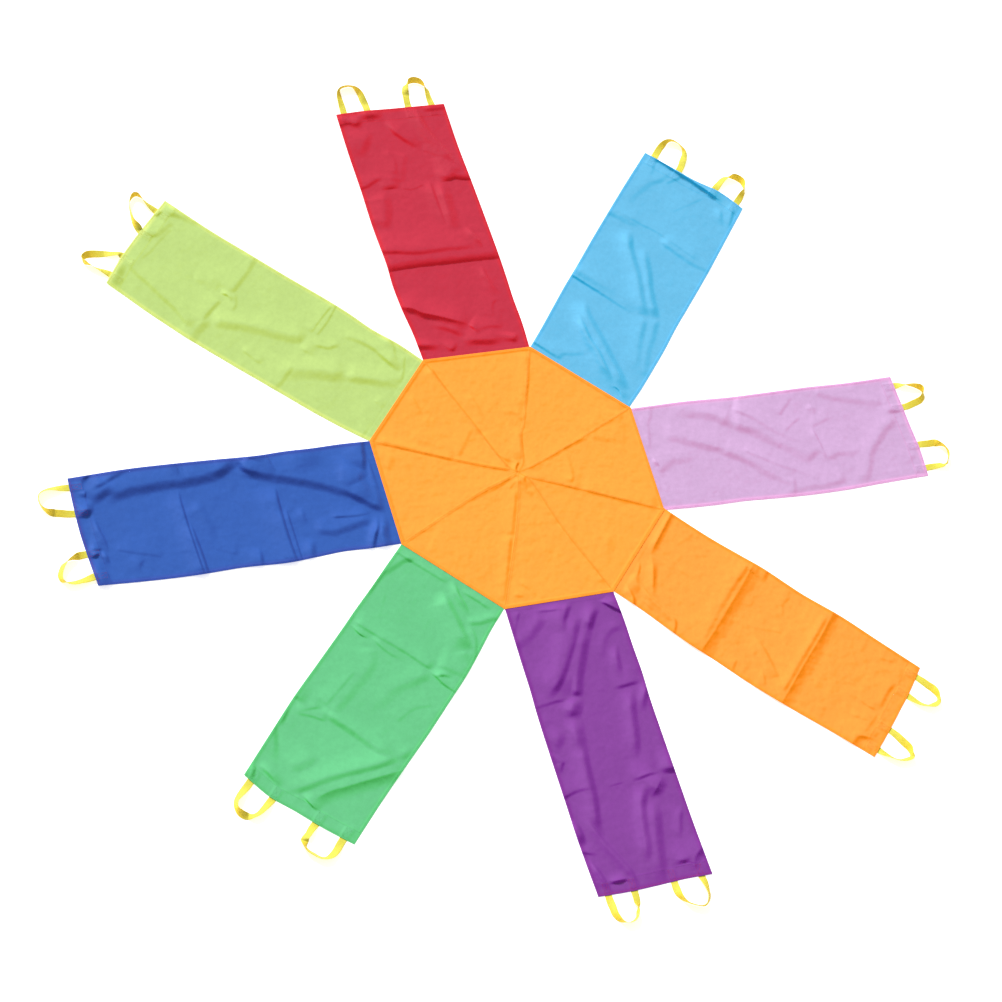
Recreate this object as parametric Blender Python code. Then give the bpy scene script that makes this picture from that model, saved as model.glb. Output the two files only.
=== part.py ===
"""Play parachute: eight orange gores sewn into an octagon, one coloured strip of
cloth sewn to each side of it, and two webbing loops on the end of each strip.

It lies flat on the ground. Metres, +Z up, origin at the centre of the octagon's
underside. +X points along the pink strip and +Y along the red one.
"""

import math

import bmesh
import bpy
from mathutils import Matrix

# ---------------------------------------------------------------- dimensions
SIDES = 8
SIDE = 0.400  # side of the octagon
CLOTH = 0.0015  # thickness that stands for one layer of cloth
HEM = 0.0021  # thickness of the folded hems and seam allowances
GAP = 0.0004  # between two pieces that are sewn together
STITCH_LIFT = 0.0003  # between a row of stitching and the cloth under it
STITCH = 0.0004  # height of a row of stitching
ROW = 0.0012  # width of a row of stitching

STRIP_LENGTH = 1.030
STRIP_INSET = 0.004  # each strip stops this far from the octagon's corner
STRIP_WIDTH = 0.408
FLARE = 0.100  # the strip is eased into its seam over this length
SIDE_HEM = 0.008
END_HEM = 0.048
SEAM_ALLOWANCE = 0.012

WEBBING = 0.025  # width of the handle webbing
WEBBING_T = 0.0015
LOOP_AT = 0.2025  # middle of a loop along the hem, as a share of its width
LEG_PITCH = 0.096  # between the middles of a loop's two legs
LOOP_REACH = 0.108  # from the hem to the middle of the bow
TWIST_END = 0.055  # from here on the webbing stands on its edge

STRIP_HINGE_Z = 0.0024  # strips and loops fold up about the top of the cloth
CENTRE_HINGE_Z = 0.0030  # half of the octagon folds over the other half

# ------------------------------------------------------------------- derived
WEDGE = 2 * math.pi / SIDES
CORNER_R = SIDE / 2 / math.sin(WEDGE / 2)
INNER_R = SIDE / 2 / math.tan(WEDGE / 2)
SEAM_HALF = SIDE / 2 - STRIP_INSET  # half a strip's width where it is sewn on
SLOPE = (STRIP_WIDTH / 2 - SEAM_HALF) / (FLARE - GAP / 2)
APEX_R = 0.003  # the gores' points stop short of the centre

# outward direction of each side in degrees, with the strip sewn to it
STRIPS = [
    ("red", 90, (0.780, 0.170, 0.250)),
    ("sky_blue", 45, (0.380, 0.740, 0.930)),
    ("pink", 0, (0.860, 0.690, 0.890)),
    ("orange", -45, (1.000, 0.640, 0.250)),
    ("purple", -90, (0.520, 0.240, 0.620)),
    ("green", -135, (0.400, 0.810, 0.540)),
    ("blue", 180, (0.210, 0.380, 0.750)),
    ("lime", 135, (0.770, 0.890, 0.500)),
]
CENTRE_COLOUR = (1.000, 0.650, 0.230)
WEBBING_COLOUR = (0.960, 0.860, 0.200)
# the half of the octagon that folds over carries these strips
FOLDING = {"sky_blue", "pink", "orange", "purple"}
FOLD_AXIS = math.radians(67.5)  # from corner to corner, between red and sky blue

for old in list(bpy.data.objects):
    bpy.data.objects.remove(old, do_unlink=True)

parts = bpy.data.collections.new("play_parachute")
guides = bpy.data.collections.new("guides")
bpy.context.scene.collection.children.link(parts)
bpy.context.scene.collection.children.link(guides)
guides.hide_render = True


def linear(c):
    return c / 12.92 if c <= 0.04045 else ((c + 0.055) / 1.055) ** 2.4


def cloth_material(name, colour, roughness=0.55):
    material = bpy.data.materials.new(name)
    material.use_nodes = True
    shader = material.node_tree.nodes["Principled BSDF"]
    shader.inputs["Base Color"].default_value = (*map(linear, colour), 1.0)
    shader.inputs["Roughness"].default_value = roughness
    shader.inputs["Metallic"].default_value = 0.0
    material.diffuse_color = (*map(linear, colour), 1.0)
    return material


def empty(name, location, turn=0.0, parent=None):
    obj = bpy.data.objects.new(name, None)
    obj.empty_display_size = 0.03
    obj.location = location
    obj.rotation_euler = (0.0, 0.0, turn)
    obj.parent = parent
    parts.objects.link(obj)
    return obj


def finish(obj, material, parent):
    obj.data.materials.append(material)
    obj.parent = parent
    parts.objects.link(obj)
    return obj


def plate(name, outlines, low, high, material, parent):
    """A flat piece from closed outlines; an outline inside another is a hole."""
    curve = bpy.data.curves.new(name, "CURVE")
    curve.dimensions = "2D"
    curve.fill_mode = "BOTH"
    curve.extrude = (high - low) / 2
    for outline in outlines:
        spline = curve.splines.new("POLY")
        spline.points.add(len(outline) - 1)
        for point, (x, y) in zip(spline.points, outline):
            point.co = (x, y, 0.0, 1.0)
        spline.use_cyclic_u = True
    obj = bpy.data.objects.new(name, curve)
    obj.location = (0.0, 0.0, (low + high) / 2)
    return finish(obj, material, parent)


def rectangle(x0, x1, y0, y1):
    return [(x0, y0), (x1, y0), (x1, y1), (x0, y1)]


def double_row(x0, x1, y0, y1):
    """Two parallel rows of stitching along X, joined at both ends."""
    inner = rectangle(x0 + ROW, x1 - ROW, y0 + ROW, y1 - ROW)
    return [rectangle(x0, x1, y0, y1), inner]


# ------------------------------------------------------------------ octagon
centre = empty("octagon_centre", (0.0, 0.0, 0.0))
fold = empty("centre_fold_axis", (0.0, 0.0, CENTRE_HINGE_Z), FOLD_AXIS)


def half_of(colour):
    return fold if colour in FOLDING else centre


def set_down(obj, degrees, parent):
    """Puts a flat piece, drawn with +X outward, at its bearing on the octagon."""
    turn = math.radians(degrees)
    height = obj.location.z
    if parent is fold:
        obj.location.z = height - CENTRE_HINGE_Z
        turn -= FOLD_AXIS
    obj.rotation_euler = (0.0, 0.0, turn)


orange = cloth_material("centre_cloth_orange", CENTRE_COLOUR)
half_wedge = math.tan(WEDGE / 2)
seam_clear = GAP / 2 / math.cos(WEDGE / 2)
for colour, bearing, _ in STRIPS:
    # a gore is a triangle with its point at the centre and its base on the rim
    base = INNER_R - GAP / 2
    outline = [
        (APEX_R, -(APEX_R * half_wedge - seam_clear)),
        (base, -(base * half_wedge - seam_clear)),
        (base, base * half_wedge - seam_clear),
        (APEX_R, APEX_R * half_wedge - seam_clear),
    ]
    half = half_of(colour)
    gore = plate(
        f"centre_gore_by_{colour}", [outline], 0.0, CLOTH, orange, half
    )
    set_down(gore, bearing, half)

    low = CLOTH + STITCH_LIFT
    thread = cloth_material(f"rim_thread_{colour}", (0.93, 0.52, 0.12), 0.7)
    # the rim is turned under and topstitched twice, through gore and strip
    reach = (INNER_R - 0.010) * half_wedge - 0.006
    rows = double_row(-reach, reach, 0.0, 0.0065)
    turned = [[(INNER_R - 0.009 + y, -x) for x, y in row] for row in rows]
    rim = plate(
        f"rim_seam_stitching_{colour}", turned, low, low + STITCH, thread, half
    )
    set_down(rim, bearing, half)

    # the seam on the gore's clockwise edge: its allowance lies on this gore
    seam = cloth_material(f"seam_thread_{colour}", (0.95, 0.55, 0.14), 0.7)
    rows = double_row(0.022, CORNER_R - 0.026, 0.0016, 0.0072)
    felled = plate(
        f"radial_seam_stitching_{colour}", rows, low, low + STITCH, seam, half
    )
    set_down(felled, bearing - math.degrees(WEDGE / 2), half)


# ------------------------------------------------------------------- strips
def side_line(start, end, inset):
    """A line that runs down a strip `inset` in from its side, from x = start to
    x = end: it spreads as the strip does and then runs straight."""
    slant = inset * math.hypot(1.0, SLOPE)
    bend = FLARE + (slant - inset) / SLOPE
    return [
        (start, SEAM_HALF + (start - GAP / 2) * SLOPE - slant),
        (bend, STRIP_WIDTH / 2 - inset),
        (end, STRIP_WIDTH / 2 - inset),
    ]


def mirrored(line):
    """The line at one side and then back along the other side."""
    return line + [(x, -y) for x, y in reversed(line)]


def strip_mesh(name):
    """A strip with +X outward from its hinge: a slab whose middle is sunk to one
    layer of cloth, which leaves the seam allowance, side hems and end hem."""
    near, far = GAP / 2, STRIP_LENGTH - GAP / 2
    rim = mirrored(side_line(near, far, 0.0))
    sunk = mirrored(side_line(near + SEAM_ALLOWANCE, far - END_HEM, SIDE_HEM))
    bm = bmesh.new()
    rings = [
        [bm.verts.new((x, y, z - STRIP_HINGE_Z)) for x, y in ring]
        for ring, z in ((rim, 0.0), (rim, HEM), (sunk, CLOTH))
    ]
    for lower, upper in zip(rings, rings[1:]):
        for n in range(len(rim)):
            after = (n + 1) % len(rim)
            bm.faces.new((lower[n], lower[after], upper[after], upper[n]))
    bm.faces.new(rings[0])
    bm.faces.new(rings[-1])
    bmesh.ops.recalc_face_normals(bm, faces=bm.faces)
    mesh = bpy.data.meshes.new(name)
    bm.to_mesh(mesh)
    bm.free()
    return mesh


def legs():
    """Where the webbing's legs leave the hem, as distances from its middle."""
    middle = (0.5 - LOOP_AT) * STRIP_WIDTH
    return [
        side * middle + leg
        for side in (-1, 1)
        for leg in (-LEG_PITCH / 2, LEG_PITCH / 2)
    ]


def slab(name, cells, low, high):
    """A flat piece made of four-sided cells that share their corners."""
    bm = bmesh.new()
    made = {}

    def corner(x, y, z):
        key = (round(x, 7), round(y, 7), z)
        if key not in made:
            made[key] = bm.verts.new((x, y, z))
        return made[key]

    sides = {}
    for cell in cells:
        for z in (low, high):
            bm.faces.new([corner(x, y, z) for x, y in cell])
        for a, b in zip(cell, cell[1:] + cell[:1]):
            pair = frozenset((corner(*a, low), corner(*b, low)))
            sides.setdefault(pair, []).append((a, b))
    for met in sides.values():
        if len(met) == 1:
            a, b = met[0]
            wall = [(*a, low), (*b, low), (*b, high), (*a, high)]
            bm.faces.new([corner(*point) for point in wall])
    bmesh.ops.recalc_face_normals(bm, faces=bm.faces)
    mesh = bpy.data.meshes.new(name)
    bm.to_mesh(mesh)
    bm.free()
    return mesh


def hem_stitching(name, low, high):
    """Rows down both side hems and two across the end hem, with a box of
    stitching where each leg of webbing is caught in it."""
    side = STRIP_WIDTH / 2 - 0.005
    start = SEAM_ALLOWANCE + 0.004
    inner, outer = STRIP_LENGTH - END_HEM + 0.003, STRIP_LENGTH - 0.004
    # where the rows that run outward start and stop, across the strip
    lines = [-side, ROW - side]
    for leg in legs():
        for edge in (-WEBBING / 2 + 0.0012, WEBBING / 2 - 0.0012 - ROW):
            lines += [leg + edge, leg + edge + ROW]
    lines += [side - ROW, side]
    cells = []
    for n, (a, b) in enumerate(zip(lines, lines[1:])):
        cells.append(rectangle(inner, inner + ROW, a, b))
        cells.append(rectangle(outer - ROW, outer, a, b))
        if n % 2 == 0:
            cells.append(rectangle(inner + ROW, outer - ROW, a, b))
    outside = side_line(start, inner, 0.005)
    inside = side_line(start, inner, 0.005 + ROW)
    for n in (0, 1):
        cell = [outside[n], outside[n + 1], inside[n + 1], inside[n]]
        cells.append(cell)
        cells.append([(x, -y) for x, y in cell])
    return slab(name, cells, low, high)


# the webbing's section, carried along each loop
section = bpy.data.curves.new("webbing_section", "CURVE")
section.dimensions = "2D"
outline = section.splines.new("POLY")
outline.points.add(3)
for point, (x, y) in zip(
    outline.points,
    rectangle(-WEBBING / 2, WEBBING / 2, -WEBBING_T / 2, WEBBING_T / 2)[::-1],
):
    point.co = (x, y, 0.0, 1.0)
outline.use_cyclic_u = True
section_guide = bpy.data.objects.new("webbing_section", section)
section_guide.hide_render = True
section_guide.display_type = "WIRE"
guides.objects.link(section_guide)


def eased(t):
    t = min(max(t, 0.0), 1.0)
    return t * t * (3 - 2 * t)


def loop_points():
    """(x outward, y along the hem, height, tilt): two legs and a half circle.
    The webbing lies flat at the hem and is twisted a quarter turn, so that the
    bow stands on its edge on the ground."""
    bow = LEG_PITCH / 2
    straight = LOOP_REACH - bow
    leg = [
        (GAP / 2 + (straight - GAP / 2) * n / 7, -bow) for n in range(7)
    ]
    turn = [
        (straight + bow * math.sin(a), -bow * math.cos(a))
        for a in (math.pi * n / 12 for n in range(13))
    ]
    path = leg + turn + [(x, -y) for x, y in reversed(leg)]
    points = []
    for x, y in path:
        tilt = math.pi / 2 * eased(x / TWIST_END)
        height = WEBBING / 2 * math.sin(tilt) + WEBBING_T / 2 * math.cos(tilt)
        points.append((x, y, height, tilt))
    return points


def webbing_loop(name):
    curve = bpy.data.curves.new(name, "CURVE")
    curve.dimensions = "3D"
    curve.twist_mode = "Z_UP"
    curve.bevel_mode = "OBJECT"
    curve.bevel_object = section_guide
    curve.use_fill_caps = True
    spline = curve.splines.new("POLY")
    path = loop_points()
    spline.points.add(len(path) - 1)
    for point, (x, y, height, tilt) in zip(spline.points, path):
        point.co = (x, y, height - STRIP_HINGE_Z, 1.0)
        point.tilt = tilt
    return curve


yellow = cloth_material("webbing_yellow", WEBBING_COLOUR, 0.6)
for colour, bearing, shade in STRIPS:
    turn = math.radians(bearing)
    half = half_of(colour)
    hinge = empty(
        f"{colour}_strip_hinge",
        (INNER_R * math.cos(turn), INNER_R * math.sin(turn), STRIP_HINGE_Z),
        turn,
    )
    if half is fold:
        # carried by the folding half, at the same place
        hinge.parent = fold
        place = Matrix.Rotation(-FOLD_AXIS, 4, "Z") @ Matrix.Translation(
            (0.0, 0.0, -CENTRE_HINGE_Z)
        )
        hinge.location = place @ hinge.location
        hinge.rotation_euler = (0.0, 0.0, turn - FOLD_AXIS)

    cloth = cloth_material(f"strip_cloth_{colour}", shade)
    strip = bpy.data.objects.new(f"{colour}_strip", strip_mesh(f"{colour}_strip"))
    finish(strip, cloth, hinge)

    thread = cloth_material(f"hem_thread_{colour}", tuple(0.8 * c for c in shade), 0.7)
    low = HEM + STITCH_LIFT - STRIP_HINGE_Z
    name = f"{colour}_hem_stitching"
    rows = bpy.data.objects.new(name, hem_stitching(name, low, low + STITCH))
    finish(rows, thread, hinge)

    middle = (0.5 - LOOP_AT) * STRIP_WIDTH
    for side, across in (("left", middle), ("right", -middle)):
        # left and right as seen from the octagon, looking outward
        swing = empty(
            f"{colour}_handle_{side}_hinge",
            (STRIP_LENGTH, across, 0.0),
            parent=hinge,
        )
        name = f"{colour}_webbing_handle_{side}"
        loop = bpy.data.objects.new(name, webbing_loop(name))
        finish(loop, yellow, swing)
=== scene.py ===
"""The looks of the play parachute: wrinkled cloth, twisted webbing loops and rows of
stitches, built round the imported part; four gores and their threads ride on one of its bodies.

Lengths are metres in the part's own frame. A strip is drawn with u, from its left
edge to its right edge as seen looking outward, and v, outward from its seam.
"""

import math

import bpy
import numpy as np
from mathutils import Matrix


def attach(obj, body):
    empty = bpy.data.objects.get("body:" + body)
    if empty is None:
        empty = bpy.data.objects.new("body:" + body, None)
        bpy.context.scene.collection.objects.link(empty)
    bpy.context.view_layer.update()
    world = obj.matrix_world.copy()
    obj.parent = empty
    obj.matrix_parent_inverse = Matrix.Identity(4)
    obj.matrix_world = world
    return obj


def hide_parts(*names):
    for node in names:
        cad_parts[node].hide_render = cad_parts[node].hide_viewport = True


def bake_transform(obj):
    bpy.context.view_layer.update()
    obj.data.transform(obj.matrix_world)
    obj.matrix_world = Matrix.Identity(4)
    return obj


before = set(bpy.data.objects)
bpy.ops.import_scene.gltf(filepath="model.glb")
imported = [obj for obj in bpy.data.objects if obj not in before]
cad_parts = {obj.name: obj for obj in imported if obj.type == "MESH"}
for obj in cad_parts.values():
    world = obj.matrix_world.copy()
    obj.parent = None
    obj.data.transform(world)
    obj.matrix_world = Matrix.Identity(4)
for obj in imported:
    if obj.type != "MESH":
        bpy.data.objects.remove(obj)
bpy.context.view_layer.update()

# ---------------------------------------------------------------- the part
SIDE = 0.400
CORNER_R = SIDE / 2 / math.sin(math.pi / 8)
INNER_R = SIDE / 2 / math.tan(math.pi / 8)
STRIP_LENGTH = 1.030
U_SPAN = 0.391  # u at the right edge
CLOTH = 0.00055  # thickness of one layer of cloth
SUN = np.array([-0.36, 0.94]) / math.hypot(0.36, 0.94)  # where the light comes from
SUN_RISE = math.radians(37)
LIGHT = np.array([*(SUN * math.cos(SUN_RISE)), math.sin(SUN_RISE)])
SKY = 0.38  # the share of the light that comes evenly from above
LEVEL = 1.28  # how brightly it is lit: a perfect white shows at 1.28 times full white
CAMERA_AT = np.array([-4.33816, -4.65939, 9.19660])

STRIPS = {
    "red": 90,
    "sky_blue": 45,
    "pink": 0,
    "orange": -45,
    "purple": -90,
    "green": -135,
    "blue": 180,
    "lime": 135,
}
ORDER = list(STRIPS)
FOLDING = ("sky_blue", "pink", "orange", "purple")


def axes(colour):
    """The strip's outward direction and the direction to its left."""
    a = math.radians(STRIPS[colour])
    return np.array([math.cos(a), math.sin(a)]), np.array([-math.sin(a), math.cos(a)])


# ---------------------------------------------------------------- how it lies
# Half widths of each strip in millimetres, left and right of its axis, at V_AT.
V_AT = (0.0, 0.10, 0.20, 0.30, 0.40, 0.55, 0.70, 0.85, 1.03)
LEFT_EDGE = {
    "red": (200, 205, 216, 222, 219, 225, 224, 226, 224),
    "sky_blue": (200, 204, 210, 216, 219, 226, 231, 235, 237),
    "pink": (197, 198, 199, 196, 193, 194, 195, 192, 195),
    "orange": (200, 196, 195, 199, 203, 197, 203, 198, 193),
    "purple": (197, 201, 200, 201, 197, 197, 198, 199, 204),
    "green": (199, 200, 206, 210, 208, 205, 198, 192, 189),
    "blue": (196, 198, 196, 203, 209, 204, 208, 206, 198),
    "lime": (200, 212, 219, 222, 225, 230, 232, 227, 213),
}
RIGHT_EDGE = {
    "red": (198, 202, 200, 202, 202, 199, 195, 190, 191),
    "sky_blue": (200, 203, 202, 200, 194, 191, 187, 180, 171),
    "pink": (206, 211, 214, 214, 219, 225, 225, 219, 214),
    "orange": (197, 201, 210, 218, 220, 226, 224, 218, 214),
    "purple": (199, 201, 203, 204, 208, 209, 209, 209, 203),
    "green": (200, 203, 205, 209, 211, 216, 221, 220, 218),
    "blue": (197, 199, 197, 198, 195, 200, 204, 205, 198),
    "lime": (197, 202, 196, 202, 202, 197, 195, 193, 200),
}
# How far the end hem lies past its nominal line, in millimetres, left to right.
END_EDGE = {
    "red": (-7, -1, -1, 0, 1),
    "sky_blue": (-10, -4, 1, 16, 6),
    "pink": (3, 5, 6, 8, 0),
    "orange": (-9, -3, -3, -4, -8),
    "purple": (0, 0, 5, 8, 6),
    "green": (2, 10, 12, 16, -2),
    "blue": (4, 12, 17, 15, 10),
    "lime": (-8, 4, 8, 7, 5),
}
# The octagon's corners lie this far from their nominal places, in millimetres.
CORNER_SHIFT = {
    112.5: (1, -1),
    67.5: (2, 2),
    22.5: (8, 0),
    -22.5: (-2, -6),
    -67.5: (-2, 3),
    -112.5: (0, -2),
    -157.5: (2, 2),
    157.5: (4, -2),
}
APEX = np.array([0.005, 0.010])  # where the eight points meet
# Each radial seam's way from the corner to the apex.
SEAM_PATHS = {
    112.5: [(-0.088, 0.197), (-0.030, 0.047)],
    67.5: [(0.095, 0.213), (0.062, 0.147), (0.037, 0.047)],
    22.5: [(0.287, 0.113), (0.187, 0.072), (0.070, 0.026)],
    -22.5: [(0.187, -0.078), (0.037, -0.016)],
    -67.5: [(0.095, -0.220), (0.041, -0.037)],
    -112.5: [(-0.063, -0.187), (-0.013, -0.045)],
    -157.5: [(-0.180, -0.058), (-0.030, -0.004)],
    157.5: [(-0.180, 0.080), (-0.030, 0.027)],
}


def corner(angle):
    a = math.radians(angle)
    dx, dy = CORNER_SHIFT[angle]
    return np.array(
        [CORNER_R * math.cos(a) + dx / 1000, CORNER_R * math.sin(a) + dy / 1000]
    )


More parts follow.
